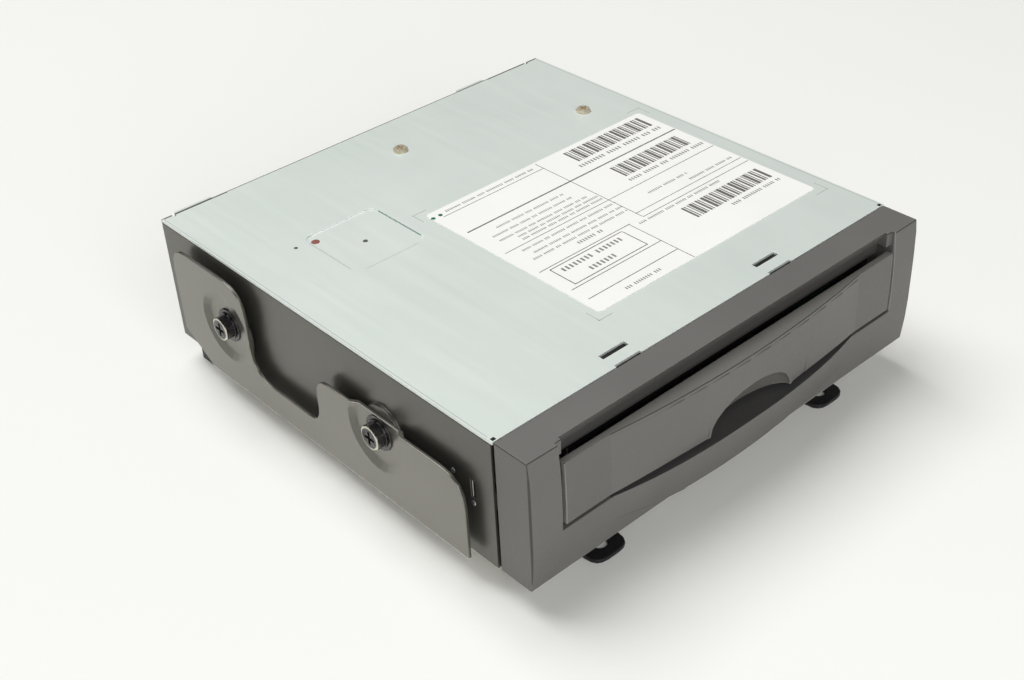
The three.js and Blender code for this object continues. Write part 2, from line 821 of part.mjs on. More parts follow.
function frontBezel() {
  const face = levels(bezelTop, -bezelUnderhang, faceSteps).map((z) => [faceY(z), z]);
  const section = outline([[-seamGap, -bezelUnderhang], [-seamGap, bezelTop], ...face]);
  const plan = outline([[-bezelHalf, overrun], [-bezelHalf, -bezelReach, bezelCorner],
    [bezelHalf, -bezelReach, bezelCorner], [bezelHalf, overrun]]);
  let bezel = prismX(section, mirrored(bezelHalf))
    .intersect(prismZ(plan, [-bezelUnderhang - overrun, bezelTop + overrun]));
  bezel = cut(join(bezel, lowerLip()), prismX(recessOutline(), mirrored(recessHalf), faceSteps));
  bezel = cut(bezel, block(mirrored(fasciaHalf + seatGap), [-fasciaReach, overrun],
    [fasciaFoot - seatGap, fasciaTop + seatGap]));
  const slotMiddle = sideSlotStart + sideSlotLength / 2;
  for (const side of Object.values(sides)) {
    const inner = recessHalf - pilasterWidth;
    const hookTop = hookFoot + hookThickness;
    const hook = onSide(side, [hookInner, hookOuter]);
    const nubMiddle = coverSlotStart + coverSlotLength / 2;
    const snapOuter = chassisHalf - sheet - seatGap;
    const snapHeight = [sideSlotFoot + seatGap, sideSlotFoot + sideSlotHeight - seatGap];
    bezel = join(bezel,
      block(onSide(side, [inner, recessHalf + overrun]), [-pilasterReach, -coveDepth],
        [pilasterFoot, bezelTop]),
      block(hook, [-seamGap - overrun, hookLength], [hookFoot, hookTop]),
      block(hook, span(nubMiddle, hookNubLength), [hookFoot, hookTop + hookNubHeight]),
      block(onSide(side, [snapOuter - snapThickness, snapOuter]), [-seamGap - overrun, snapLength],
        snapHeight),
      block(onSide(side, [snapOuter - snapThickness, snapOuter + snapNubReach]),
        span(slotMiddle, snapNubLength), snapHeight));
    bezel = cut(bezel,
      block(onSide(side, [hollowInner, hollowOuter]), [-bezelReach + bezelWall + overrun, overrun],
        [bezelWall, shelfHeight - bezelWall]),
      rodX(flapPinRadius + pinGap, onSide(side, [recessHalf - overrun,
        recessHalf + flapPinHold + seatGap]), -hingeReach, hingeHeight));
  }
  return bezel;
}

// Flap: the bezel's face carried on, bowed forward between two creases
function flapFace(x, z) {
  const rise = (z - flapFoot) / (flapTop - flapFoot);
  const bow = flapBowFoot + (flapBowTop - flapBowFoot) * rise;
  return faceY(z) - flapProud - bow * Math.max(0, 1 - (x / flapCreaseHalf) ** 2);
}

function flapSlab(low, high, backOf) {
  const columns = [-flapHalf, ...levels(-flapCreaseHalf, flapCreaseHalf, flapSteps), flapHalf];
  const heights = levels(high, low, flapLevels);
  const rings = columns.map((x) => ({ x, points: [
    ...heights.map((z) => [flapFace(x, z), z]),
    ...heights.toReversed().map((z) => [backOf(flapFace(x, z)), z])] }));
  return solid(lofted(rings));
}

// Thumb pocket: an egg-shaped hollow behind the notch, grown by its wall for the shell around it
function pocketBody(wall) {
  const egg = new THREE.SphereGeometry(1, fineSides, roundSides);
  egg.scale(notchHalf + wall, pocketDepth + wall, notchHeight + wall);
  return solid(egg.translate(notchMiddle, -pocketReach, flapFoot));
}

function flapDoor() {
  const mouth = new THREE.CylinderGeometry(1, 1, 1, fineSides);
  mouth.scale(notchHalf, frontClear - pocketReach, notchHeight);
  mouth.translate(notchMiddle, -(frontClear + pocketReach) / 2, flapFoot);
  const shell = pocketBody(pocketWall).intersect(block(mirrored(flapHalf), [-pocketReach, 0],
    [flapFoot, flapTop - ledgeThickness]));
  let flap = join(flapSlab(flapFoot, flapTop, (y) => y + flapSkin),
    flapSlab(flapTop - ledgeThickness, flapTop, () => -ledgeReach), shell);
  const capFront = faceY(flapTop) - flapProud + flapSkin / 2;
  const capRear = -hingeReach + hingeBossRadius;
  const cap = outline([[capFront, flapFoot], [capFront + flapCapFoot, flapFoot],
    [capRear, hingeHeight - hingeBossRadius, hingeBossRadius], [capRear, hingeHeight, 0],
    [-ledgeReach, flapTop], [capFront, flapTop]]);
  for (const side of Object.values(sides)) {
    flap = join(flap, prismX(cap, onSide(side, [flapHalf - flapCapWidth, flapHalf])));
    flap = cut(flap,
      rodX(flapPinRadius + pinGap, onSide(side, [flapHalf - flapCapWidth - overrun,
        flapHalf + overrun]), -hingeReach, hingeHeight),
      rodX(springPocketRadius, onSide(side, [flapPinTip - seatGap, flapHalf - flapCapWidth]),
        -hingeReach, hingeHeight));
  }
  return cut(flap, solid(mouth), pocketBody(0));
}

const flapPin = (side) => rodX(flapPinRadius,
  onSide(side, [flapPinTip, recessHalf + flapPinHold]), -hingeReach, hingeHeight);

function flapSpring() {
  const outer = -(flapHalf - flapCapWidth - seatGap - flapSpringWire);
  const bent = coil(flapSpringRadius, flapSpringWire, flapSpringTurns,
    [outer, outer + flapSpringWidth], flapSpringLeg);
  return solid(bent.translate(0, -hingeReach, hingeHeight));
}

// Fascia: the fixed plate behind the flap, with the disc slot and the small board's posts
function slotFascia() {
  const thick = [-fasciaReach, fasciaBack];
  const through = [-fasciaReach - overrun, fasciaBack + overrun];
  const body = block(mirrored(fasciaHalf), thick, [fasciaFoot, fasciaTop]);
  const slot = plate(mirrored(discSlotHalf), span(discHeight, discSlotHeight), discSlotHeight / 2.1);
  const button = plate(span(buttonX, buttonWidth + 2 * seatGap),
    span(buttonHeight, buttonTall + 2 * seatGap), buttonCorner);
  const fascia = cut(body, prismY(slot, through), prismY(button, through),
    rodY(lightRadius + seatGap, through, lightX, buttonHeight, roundSides));
  const posts = [smallBoardLeft + fasciaPostInset, smallBoardRight - fasciaPostInset].map((x) => rodY(
    fasciaPostRadius, [fasciaBack - fasciaThickness / 2, smallBoardFront], x,
    smallBoardFoot + fasciaPostInset));
  return join(fascia, ...posts);
}

// Felts close the slot from behind, one above and one below the disc
function dustFelt(side) {
  const edge = discSlotHeight / 2 - feltLap;
  return block(mirrored(feltHalf), [fasciaBack, fasciaBack + feltThickness],
    onSide(side, [edge, edge + feltWidth]).map((rise) => discHeight + rise));
}

const buttonBack = fasciaBack + seatGap + buttonFlangeThickness;

function ejectButton() {
  const cap = plate(span(buttonX, buttonWidth), span(buttonHeight, buttonTall), buttonCorner);
  const flange = plate(span(buttonX, buttonWidth + 2 * buttonFlange),
    span(buttonHeight, buttonTall + 2 * buttonFlange), buttonCorner);
  return join(prismY(cap, [-fasciaReach - buttonProud, buttonBack]),
    prismY(flange, [buttonBack - buttonFlangeThickness, buttonBack]));
}

function ejectButtonSpring() {
  const end = seatGap / 2 + buttonSpringWire;
  const wound = coil(buttonSpringRadius, buttonSpringWire, buttonSpringTurns,
    [buttonBack + end, smallBoardFront - end], 0);
  return solid(wound.rotateZ(Math.PI / 2).translate(buttonX, 0, buttonHeight));
}

function statusLightPipe() {
  const front = -fasciaReach - lightProud;
  const collar = fasciaBack + seatGap;
  return turnedY([[0, front], [lightRadius, front + lightProud / 2], [lightRadius, collar],
    [lightCollarRadius, collar], [lightCollarRadius, collar + lightCollarThickness],
    [lightRadius, collar + lightCollarThickness], [lightRadius, smallBoardFront - seatGap],
    [0, smallBoardFront - seatGap]], lightX, buttonHeight);
}

const frontBoard = () => block([smallBoardLeft, smallBoardRight],
  [smallBoardFront, smallBoardFront + smallBoardThickness], [smallBoardFoot, smallBoardTop]);

// Side bracket: a flat plate held off the wall by two dishes that are drawn in to its seats
function sideBracket(side) {
  const wall = chassisHalf + wallSeat;
  const shape = outline([
    [bracketFront, bracketFoot], [chamferStart, bracketFoot], [bracketRear, chamferHeight],
    [bracketRear, rearEarTop, rearCorner], [rearEarFront, rearEarTop, wideCorner],
    [rearEarFront, valleyHeight, wideCorner], [valleyFront, valleyHeight, valleyCorner],
    [valleyFront, frontEarTop, valleyCorner], [bracketFront, frontEarTop, wideCorner]]);
  const rim = chassisHalf + standOff;
  let bracket = prismX(shape, onSide(side, [rim - bracketSheet, rim]));
  const body = prismX(shape, onSide(side, [wall, rim]));
  for (const place of Object.values(screwPlaces)) {
    const back = dishRimRadius + bracketSheet;
    const dish = turnedOut(side, [[0, wall], [dishFloorRadius + bracketSheet, wall],
      [back, rim - bracketSheet], [back, rim], [0, rim]], place, screwHeight, fineSides);
    const hollow = turnedOut(side, [[0, wall + bracketSheet], [dishFloorRadius, wall + bracketSheet],
      [dishRimRadius, rim], [dishRimRadius, rim + overrun], [0, rim + overrun]],
    place, screwHeight, fineSides);
    const hole = rodX(screwHoleRadius, onSide(side, [wall - overrun, rim]), place, screwHeight,
      roundSides);
    bracket = cut(join(bracket, dish.intersect(body)), hollow, hole);
  }
  return bracket;
}

// The fastener stack stands on the dish floor: flat washer, split lock washer, hexagon head
const washerSeat = chassisHalf + wallSeat + bracketSheet;
const lockSeat = washerSeat + flatWasherThickness;
const headSeat = lockSeat + lockWasherThickness;

function ringOut(side, outer, low, high, place) {
  return cut(rodX(outer, onSide(side, [low, high]), place, screwHeight, roundSides),
    rodX(screwHoleRadius, onSide(side, [low - overrun, high + overrun]), place, screwHeight,
      roundSides));
}

const flatWasher = (side, place) => ringOut(side, flatWasherRadius, washerSeat, lockSeat, place);

function lockWasher(side, place) {
  const split = block(onSide(side, [lockSeat - overrun, headSeat + overrun]),
    span(place, lockWasherSplit), [screwHeight, screwHeight + lockWasherRadius + overrun]);
  return cut(ringOut(side, lockWasherRadius, lockSeat, headSeat, place), split);
}

function bracketScrew(side, place) {
  const top = headSeat + screwHeadHeight;
  const corner = screwHeadFlats / Math.sqrt(3);
  const hexagon = rodX(corner, onSide(side, [headSeat, top]), place, screwHeight, 6);
  const dome = turnedOut(side, [[0, headSeat], [corner, headSeat],
    [corner, top - headRimHeight], [screwHeadFlats / 2, top], [0, top]], place, screwHeight);
  const shank = rodX(screwRadius, onSide(side, [headSeat - screwLength, headSeat]), place,
    screwHeight, roundSides);
  const depth = onSide(side, [top - crossDepth, top + overrun]);
  return cut(join(hexagon.intersect(dome), shank),
    block(depth, span(place, crossLength), span(screwHeight, crossWidth)),
    block(depth, span(place, crossWidth), span(screwHeight, crossLength)));
}

// Foot brackets: black steel strips spot-welded under the tray, with ears that stand on the floor
function frontFootBracket() {
  const floor = [-footHeight, -footHeight + footSheet];
  const leg = [frontLegPlace, frontLegPlace + footSheet];
  let bracket = block(mirrored(earOuter), [frontLegPlace, frontLegPlace + frontStripDepth],
    [-footSheet, 0]);
  for (const side of Object.values(sides)) {
    const width = onSide(side, [earInner, earOuter]);
    const ear = outline([[width[0], leg[1]], [width[0], -earReach, earCornerRadius],
      [width[1], -earReach, earCornerRadius], [width[1], leg[1]]]);
    bracket = join(bracket, prismZ(ear, floor), block(width, leg, [-footHeight, 0]));
    bracket = cut(bracket, rodZ(earHoleRadius, [floor[0] - overrun, floor[1] + overrun],
      (width[0] + width[1]) / 2, -earHoleReach, roundSides));
  }
  return bracket;
}

function rearFootBracket() {
  const floor = [-footHeight, -footHeight + footSheet];
  const depth = [rearStripStart, rearStripStart + rearStripDepth];
  let bracket = block(mirrored(rearFootHalf), depth, [-footSheet, 0]);
  for (const side of Object.values(sides)) {
    const foot = onSide(side, [rearFootHalf - rearFootWidth, rearFootHalf]);
    bracket = join(bracket, block(foot, depth, floor),
      block(onSide(side, [rearFootHalf - footSheet, rearFootHalf]), depth, [-footHeight, 0]));
    bracket = cut(bracket, rodZ(rearFootHole, [floor[0] - overrun, floor[1] + overrun],
      (foot[0] + foot[1]) / 2, (depth[0] + depth[1]) / 2));
  }
  return bracket;
}

// Main board with the pickup cable's socket block, and its largest chip
function mainBoard() {
  const thick = [boardHeight, boardTop];
  const through = [boardHeight - overrun, boardTop + overrun];
  let board = block(mirrored(boardHalf), [boardStart, boardEnd], thick);
  for (const [x, y] of Object.values(standoffs)) {
    board = cut(board, rodZ(standoffRadius + standoffClearance, through, x, y));
  }
  const cable = [cableEnd + seatGap, cableEnd + seatGap + cableBlockLength];
  return join(board, block([cableLeft - overrun, cableRight + overrun], cable,
    [boardTop - boardThickness / 2, boardTop + cableBlockHeight]));
}

const processorChip = () => prismZ(plate(span(chipX, chipSize), span(chipY, chipSize), chipChamfer),
  [boardTop, boardTop + chipThickness], 1);

// Rear sockets: open boxes on the board's edge that stand through the rear wall
function socketBox([left, right], tall) {
  const body = block([left, right], [socketStart, socketEnd], [boardTop, boardTop + tall]);
  return cut(body, block([left + socketWall, right - socketWall],
    [socketEnd - socketDepth, socketEnd + overrun],
    [boardTop + socketWall, boardTop + tall - socketWall]));
}

function powerHeader() {
  let header = socketBox([powerLeft, powerRight], powerTall);
  const pitch = (powerRight - powerLeft - 2 * socketWall) / powerPins;
  const rows = [boardTop + powerTall / 3, boardTop + 2 * powerTall / 3];
  for (let i = 0; i < powerPins; i += 1) {
    const x = powerLeft + socketWall + pitch * (i + 0.5);
    for (const z of rows) {
      header = join(header, block(span(x, powerPinSide),
        [socketEnd - socketDepth - overrun, socketEnd - socketWall], span(z, powerPinSide)));
    }
  }
  return header;
}

function opticalHeader() {
  const header = socketBox([opticalLeft, opticalRight], opticalTall);
  const quarter = (opticalRight - opticalLeft) / 4;
  const ferrules = [opticalLeft + quarter, opticalRight - quarter].map((x) => rodY(opticalFerrule,
    [socketEnd - socketDepth - overrun, socketEnd - socketDepth / 2], x, boardTop + opticalTall / 2));
  return join(header, ...ferrules);
}

function antennaSocket() {
  const base = block(span(antennaX, antennaBase), [socketStart, socketStart + antennaBaseLength],
    [boardTop, antennaHeight + antennaRadius]);
  const barrel = rodY(antennaRadius, [socketStart + overrun, socketEnd], antennaX, antennaHeight,
    roundSides);
  const bore = rodY(antennaBore, [socketEnd - socketDepth, socketEnd + overrun], antennaX,
    antennaHeight, roundSides);
  const pin = rodY(antennaPin, [socketEnd - socketDepth - overrun, socketEnd - socketWall],
    antennaX, antennaHeight);
  return join(cut(join(base, barrel), bore), pin);
}

// Mechanism frame: a stamped deck with side walls, a bridge, rod tabs and the arm's uprights
function mechanismFrame() {
  const deck = [deckHeight, deckTop];
  const through = [deckHeight - overrun, deckTop + overrun];
  const beside = [tabInner, openingRight];
  let frame = join(block(mirrored(deckHalf), [deckFront, deckRear], deck),
    block(mirrored(deckHalf), [deckFront, bridgeRear], [wallTop - wallSheet, wallTop]));
  for (const side of Object.values(sides)) {
    frame = join(frame,
      block(onSide(side, [deckHalf - wallSheet, deckHalf]), [deckFront, wallRear],
        [deckHeight, wallTop]),
      block(onSide(side, [uprightInner, uprightInner + uprightSheet]), span(pivotY, 2 * uprightHalf),
        [deckHeight, uprightTop]));
    for (const place of Object.values(postPlaces)) {
      frame = join(frame, block(onSide(side, [deckHalf - overrun, deckEarReach]),
        span(place, 2 * deckEarHalf), deck));
      frame = cut(frame, rodZ(damperGroove + grooveClearance, through, side * mountPostSide, place));
    }
    frame = cut(frame, rodX(pivotRadius + seatGap, onSide(side, [uprightInner - overrun,
      uprightInner + uprightSheet + overrun]), pivotY, armMiddle));
  }
  frame = cut(frame,
    rodZ(spindleCanRadius + seatGap, through, 0, spindleY, fineSides),
    block([openingLeft, openingRight], [openingFront, openingRear], through),
    block([gearOpeningLeft, gearOpeningRight], [deckFront - overrun, gearOpeningRear], through));
  for (const [x, y] of Object.values(standoffs)) {
    frame = cut(frame, rodZ(standoffRadius + standoffClearance, through, x, y));
  }
  const tabs = [[openingFront - tabThickness, openingFront], [openingRear, openingRear + tabThickness]];
  for (const tab of tabs) {
    frame = join(frame, block(beside, tab, [tabFoot, deckTop]),
      block([openingLeft, -tabInner], tab, [tabFoot - overrun, deckTop]));
  }
  for (const side of Object.values(sides)) {
    frame = cut(frame, rodY(rodRadius + pinGap, [rodFront - seatGap, rodRear + seatGap],
      side * rodSide, rodHeight));
  }
  frame = cut(frame,
    rodY(motorShaftRadius + seatGap, [openingFront - tabThickness - overrun,
      openingFront + overrun], leadX, leadHeight),
    rodY(leadRoot + pinGap, [openingRear - overrun, openingRear + tabThickness + overrun],
      leadX, leadHeight));
  const motorTab = cut(block([motorTabLeft, deckHalf - wallSheet],
    [gearOpeningRear, gearOpeningRear + tabThickness], [motorTabFoot, deckTop]),
  rodY(motorBossRadius + pinGap, [gearOpeningRear - overrun,
    gearOpeningRear + tabThickness + overrun], wormX, wormHeight));
  const idlerPin = rodX(idlerPinRadius, [idlerPinTip, deckHalf - wallSheet / 2], idlerY, idlerHeight);
  const shaftHole = rodX(shaftRadius + pinGap, mirrored(deckHalf + overrun), rollerY, rollerHeight);
  return cut(join(frame, motorTab, idlerPin), shaftHole);
}

// Rubber damper: a ring with a groove for the deck, round the neck of a tray post
function damper(side, place) {
  const middle = deckHeight + deckSheet / 2;
  const half = deckSheet / 2 + pinGap;
  const bore = mountNeckRadius + pinGap;
  const foot = middle - damperHalf;
  const top = middle + damperHalf;
  const profile = [[bore, foot], [damperCrown, foot], [damperRadius, middle - half],
    [damperGroove, middle - half], [damperGroove, middle + half], [damperRadius, middle + half],
    [damperCrown, top], [bore, top], [bore, foot]];
  return turnedZ(profile, side * mountPostSide, place, smallSides);
}

// Disc drive: motor, turntable, and the clamper that the arm carries above the disc
function spindleMotor() {
  const neckTop = deckTop + spindleFlangeThickness + spindleNeckHeight;
  return turnedZ([[0, spindleFoot], [spindleCanRadius, spindleFoot], [spindleCanRadius, deckTop],
    [spindleFlangeRadius, deckTop], [spindleFlangeRadius, deckTop + spindleFlangeThickness],
    [spindleNeckRadius, deckTop + spindleFlangeThickness], [spindleNeckRadius, neckTop],
    [spindleShaftRadius, neckTop], [spindleShaftRadius, spindleShaftTop],
    [0, spindleShaftTop]], 0, spindleY, fineSides);
}

function turntable() {
  const bore = spindleShaftRadius + pinGap;
  return turnedZ([[bore, turntableFoot], [turntableRadius, turntableFoot],
    [turntableRadius, turntableTop], [hubRadius, turntableTop], [hubTipRadius, hubTop], [0, hubTop],
    [0, turntableBoreTop], [bore, turntableBoreTop], [bore, turntableFoot]], 0, spindleY, fineSides);
}

function clamper() {
  const shoulder = clamperFoot + clamperThickness;
  const cap = armTop + clamperPlay;
  return turnedZ([[0, clamperFoot], [clamperRadius, clamperFoot], [clamperRadius, shoulder],
    [clamperNeckRadius, shoulder], [clamperNeckRadius, cap], [clamperCapRadius, cap],
    [clamperCapRadius, cap + clamperCapThickness], [0, cap + clamperCapThickness]],
  0, spindleY);
}

function clampArm() {
  const shape = new THREE.Shape();
  shape.moveTo(armRearHalf, armRear);
  shape.lineTo(-armRearHalf, armRear);
  shape.lineTo(-armRearHalf, armShoulder);
  shape.lineTo(-armNoseRadius, spindleY);
  shape.absarc(0, spindleY, armNoseRadius, Math.PI, 2 * Math.PI, false);
  shape.lineTo(armRearHalf, armShoulder);
  const hole = rodZ(clamperNeckRadius + clamperHoleGap, [armFoot - overrun, armTop + overrun],
    0, spindleY, roundSides);
  const arm = cut(prismZ(shape, [armFoot, armTop], smallSides), hole);
  const tips = Object.values(sides).map((side) => rodX(pivotRadius, onSide(side,
    [armRearHalf - pivotRadius, uprightInner + uprightSheet + overrun]), pivotY, armMiddle));
  return join(arm, ...tips);
}

// Pickup: a sled on two rods, moved by a lead screw, with the lens on top
function pickupSled() {
  const length = span(sledY, 2 * sledHalfLength);
  const through = [length[0] - overrun, length[1] + overrun];
  return cut(
    join(block(mirrored(sledHalfWidth), length, [sledFoot, sledTop]),
      block([-nutArmReach, -sledHalfWidth + overrun], span(sledY, 2 * nutArmHalf),
        [nutArmFoot, nutArmTop])),
    rodY(rodRadius + pinGap, through, rodSide, rodHeight),
    rodY(rodRadius + pinGap, through, -rodSide, rodHeight),
    rodY(leadCrest + pinGap, through, leadX, leadHeight));
}

const pickupLens = () => turnedZ([[0, sledTop], [lensBaseRadius, sledTop],
  [lensBaseRadius, sledTop + lensStepHeight], [lensRadius, sledTop + lensStepHeight],
  [lensRadius, lensTop], [lensWindowRadius, lensTop], [lensWindowRadius / 2, lensTop + lensCrown],
  [0, lensTop + lensCrown]], 0, sledY);

const guideRod = (side) => rodY(rodRadius, [rodFront, rodRear], side * rodSide, rodHeight);

function leadScrew() {
  const thread = threaded(leadRoot, leadCrest, leadPitch, openingRear - seatGap - leadStart);
  const screw = solid(thread.rotateZ(Math.PI / 2).translate(leadX, leadStart, leadHeight));
  const front = rodY(motorShaftRadius, [openingFront - tabThickness + seatGap, leadStart + overrun],
    leadX, leadHeight, threadSides);
  const rear = rodY(motorShaftRadius, [openingRear - overrun, leadEnd], leadX, leadHeight,
    threadSides);
  return join(screw, front, rear);
}

const sledMotor = () => rodY(sledMotorRadius, span(openingFront - tabThickness
  - sledMotorLength / 2, sledMotorLength), leadX, leadHeight, roundSides);

// Ribbon from the pickup: under the sled, round a rolling loop and back along the board
function flatCable() {
  const upper = sledFoot - cableDrop - cableThickness / 2;
  const lower = boardTop + cableDrop + cableThickness / 2;
  const radius = (upper - lower) / 2;
  const middle = (upper + lower) / 2;
  const rings = [[sledY, upper + cableThickness / 2], [cableEnd, lower - cableThickness / 2]];
  const band = new THREE.Shape();
  band.moveTo(...rings[0]);
  band.absarc(cableLoopFront, middle, radius + cableThickness / 2, Math.PI / 2, 3 * Math.PI / 2, false);
  band.lineTo(...rings[1]);
  band.lineTo(cableEnd, lower + cableThickness / 2);
  band.absarc(cableLoopFront, middle, radius - cableThickness / 2, 3 * Math.PI / 2, Math.PI / 2, true);
  band.lineTo(sledY, upper - cableThickness / 2);
  return prismX(band, [cableLeft, cableRight], smallSides);
}

// Loading drive: motor and worm, worm wheel with idler gear, geared shaft with rubber roller
function rollerShaft() {
  const shaft = rodX(shaftRadius, mirrored(shaftHalf), rollerY, rollerHeight);
  const hub = rodX(gearHubRadius, [gearLeft - overrun, hubSide], rollerY, rollerHeight);
  return join(shaft, hub, gearX(rollerTeeth, 0, 0, [gearLeft, gearRight], rollerY, rollerHeight));
}

// The rubber is thicker at its ends, so it touches only the disc's edge
function loadingRoller() {
  const bore = shaftRadius + pinGap;
  return turnedOut(1, [[bore, -rollerHalf], [rollerEndRadius, -rollerHalf], [rollerWaistRadius, 0],
    [rollerEndRadius, rollerHalf], [bore, rollerHalf], [bore, -rollerHalf]],
  rollerY, rollerHeight, smallSides);
}

function idlerGear() {
  const bore = idlerPinRadius + pinGap;
  const line = Math.atan2(rollerHeight - idlerHeight, rollerY - idlerY) / (2 * Math.PI);
  const meshShare = line * idlerTeeth + line * rollerTeeth + rollerTeeth / 2 + 0.5;
  const gear = gearX(idlerTeeth, meshShare, bore, [gearLeft, gearRight], idlerY, idlerHeight);
  const wheel = gearX(wheelTeeth, 0, bore, [wheelLeft, wheelRight], idlerY, idlerHeight);
  const hub = cut(rodX(gearHubRadius, [wheelBossLeft, hubSide], idlerY, idlerHeight),
    rodX(bore, [wheelBossLeft - overrun, hubSide + overrun], idlerY, idlerHeight));
  return join(gear, wheel, hub);
}

function loadingWorm() {
  const pitch = Math.PI * gearModule;
  const thread = threaded(wormRoot, wormCrest, pitch, wormRear - wormFront);
  const worm = solid(thread.rotateZ(Math.PI / 2).translate(wormX, wormFront, wormHeight));
  const shaftEnd = gearOpeningRear + tabThickness - motorBossHeight - seatGap;
  return join(worm, rodY(motorShaftRadius, [wormRear - overrun, shaftEnd], wormX, wormHeight,
    threadSides));
}

function loadingMotor() {
  const front = gearOpeningRear + tabThickness;
  return turnedY([[0, front - motorBossHeight], [motorBossRadius, front - motorBossHeight],
    [motorBossRadius, front], [loadMotorRadius, front], [loadMotorRadius, front + loadMotorLength],
    [0, front + loadMotorLength]], wormX, wormHeight);
}

add('chassis_tray', chassisTray(), 'darkZinc');
add('top_cover', topCover(), 'zinc');
for (const [name, [x, y]] of Object.entries(standoffs)) {
  add(`cover_screw_${name}`, coverScrew(x, y), 'yellowScrew');
}
add('rating_label', prismZ(plate([labelLeft, labelRight], [labelFront, labelRear], labelCorner),
  [chassisHeight, chassisHeight + labelThickness], 1), 'label');
add('front_bezel', frontBezel(), 'bezel');
add('flap_door', flapDoor(), 'flap');
add('flap_spring', flapSpring(), 'steel');
add('slot_fascia', slotFascia(), 'darkPlastic');
add('upper_dust_felt', dustFelt(1), 'felt');
add('lower_dust_felt', dustFelt(-1), 'felt');
add('eject_button', ejectButton(), 'button');
add('eject_button_spring', ejectButtonSpring(), 'steel');
add('status_light_pipe', statusLightPipe(), 'clear');
add('front_board', frontBoard(), 'board');
add('front_foot_bracket', frontFootBracket(), 'blackSteel');
add('rear_foot_bracket', rearFootBracket(), 'blackSteel');
for (const [name, side] of Object.entries(sides)) {
  add(`flap_pin_${name}`, flapPin(side), 'steel');
  add(`side_bracket_${name}`, sideBracket(side), 'bracket');
  for (const [end, place] of Object.entries(screwPlaces)) {
    add(`bracket_screw_${name}_${end}`, bracketScrew(side, place), 'screw');
    add(`lock_washer_${name}_${end}`, lockWasher(side, place), 'screw');
    add(`flat_washer_${name}_${end}`, flatWasher(side, place), 'screw');
  }
  for (const [end, place] of Object.entries(postPlaces)) {
    add(`damper_${name}_${end}`, damper(side, place), 'rubber');
  }
}
add('main_board', mainBoard(), 'board');
add('processor_chip', processorChip(), 'chip');
add('power_header', powerHeader(), 'socket');
add('optical_header', opticalHeader(), 'socket');
add('antenna_socket', antennaSocket(), 'brass');
add('mechanism_frame', mechanismFrame(), 'steel');
add('spindle_motor', spindleMotor(), 'steel');
add('turntable', turntable(), 'darkPlastic');
add('clamper', clamper(), 'gear');
add('clamp_arm', clampArm(), 'steel');
add('pickup_sled', pickupSled(), 'darkPlastic');
add('pickup_lens', pickupLens(), 'clear');
add('main_guide_rod', guideRod(-1), 'steel');
add('sub_guide_rod', guideRod(1), 'steel');
add('lead_screw', leadScrew(), 'steel');
add('sled_motor', sledMotor(), 'steel');
add('flat_cable', flatCable(), 'cable');
add('roller_shaft', rollerShaft(), 'gear');
add('loading_roller', loadingRoller(), 'rubber');
add('idler_gear', idlerGear(), 'gear');
add('loading_worm', loadingWorm(), 'brass');
add('loading_motor', loadingMotor(), 'steel');

const part = new THREE.Group();
part.add(unit);

export default part;
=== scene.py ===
# %% [markdown]
# # Car navigation disc reader
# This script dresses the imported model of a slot-loading disc drive in a car radio housing.
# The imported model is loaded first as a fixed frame. Every finish and every finer piece hangs on it. It
# could be modelled anew here, but then its joints and its sizes would have to be matched by hand.

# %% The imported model
import json
import math

import bpy
from mathutils import Matrix, Vector

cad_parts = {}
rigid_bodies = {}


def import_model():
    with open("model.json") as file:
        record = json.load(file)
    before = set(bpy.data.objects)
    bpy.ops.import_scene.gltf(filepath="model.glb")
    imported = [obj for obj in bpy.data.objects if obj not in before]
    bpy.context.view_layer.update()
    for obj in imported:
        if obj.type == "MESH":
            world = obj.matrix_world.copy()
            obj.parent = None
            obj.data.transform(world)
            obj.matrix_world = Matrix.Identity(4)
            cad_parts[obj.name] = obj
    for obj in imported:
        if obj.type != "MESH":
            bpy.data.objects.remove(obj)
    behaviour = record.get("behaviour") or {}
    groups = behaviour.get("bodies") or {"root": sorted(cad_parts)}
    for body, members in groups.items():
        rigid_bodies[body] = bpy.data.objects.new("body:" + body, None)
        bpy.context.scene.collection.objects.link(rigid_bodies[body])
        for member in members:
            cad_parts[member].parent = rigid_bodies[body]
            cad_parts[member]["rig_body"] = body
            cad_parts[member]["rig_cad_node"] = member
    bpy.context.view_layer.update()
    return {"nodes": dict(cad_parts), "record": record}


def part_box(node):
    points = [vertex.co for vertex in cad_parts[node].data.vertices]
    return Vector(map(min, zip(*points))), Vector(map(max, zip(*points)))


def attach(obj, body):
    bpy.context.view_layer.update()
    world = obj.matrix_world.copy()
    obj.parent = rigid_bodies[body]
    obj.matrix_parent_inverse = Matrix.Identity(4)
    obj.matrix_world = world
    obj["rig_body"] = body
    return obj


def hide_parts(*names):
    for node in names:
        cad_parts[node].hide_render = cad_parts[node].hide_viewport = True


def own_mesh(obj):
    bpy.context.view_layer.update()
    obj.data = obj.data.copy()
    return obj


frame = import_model()
nodes = frame["nodes"]
print("The packed model has", len(nodes), "nodes")

# %% [markdown]
# Sizes on the object are real ones in millimetres. Only the camera, the paper and the lamps are placed
# in metres. The tray's lowest corner gives two datums: the seam behind the bezel, and the underside of
# the housing. Depths count from the one and heights from the other, as on a workshop drawing.

# %% Datums
MM = 0.001
DECIMALS = 5
tray_low, tray_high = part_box("chassis_tray")
SEAM = tray_low.y
UNDERSIDE = tray_low.z


def spot(x, depth, height):
    """A place in the scene from the middle, the seam and the underside, in millimetres."""
    return Vector((x * MM, SEAM + depth * MM, UNDERSIDE + height * MM))


print("The seam lies at", round(SEAM, DECIMALS), "and the underside at", round(UNDERSIDE, DECIMALS))

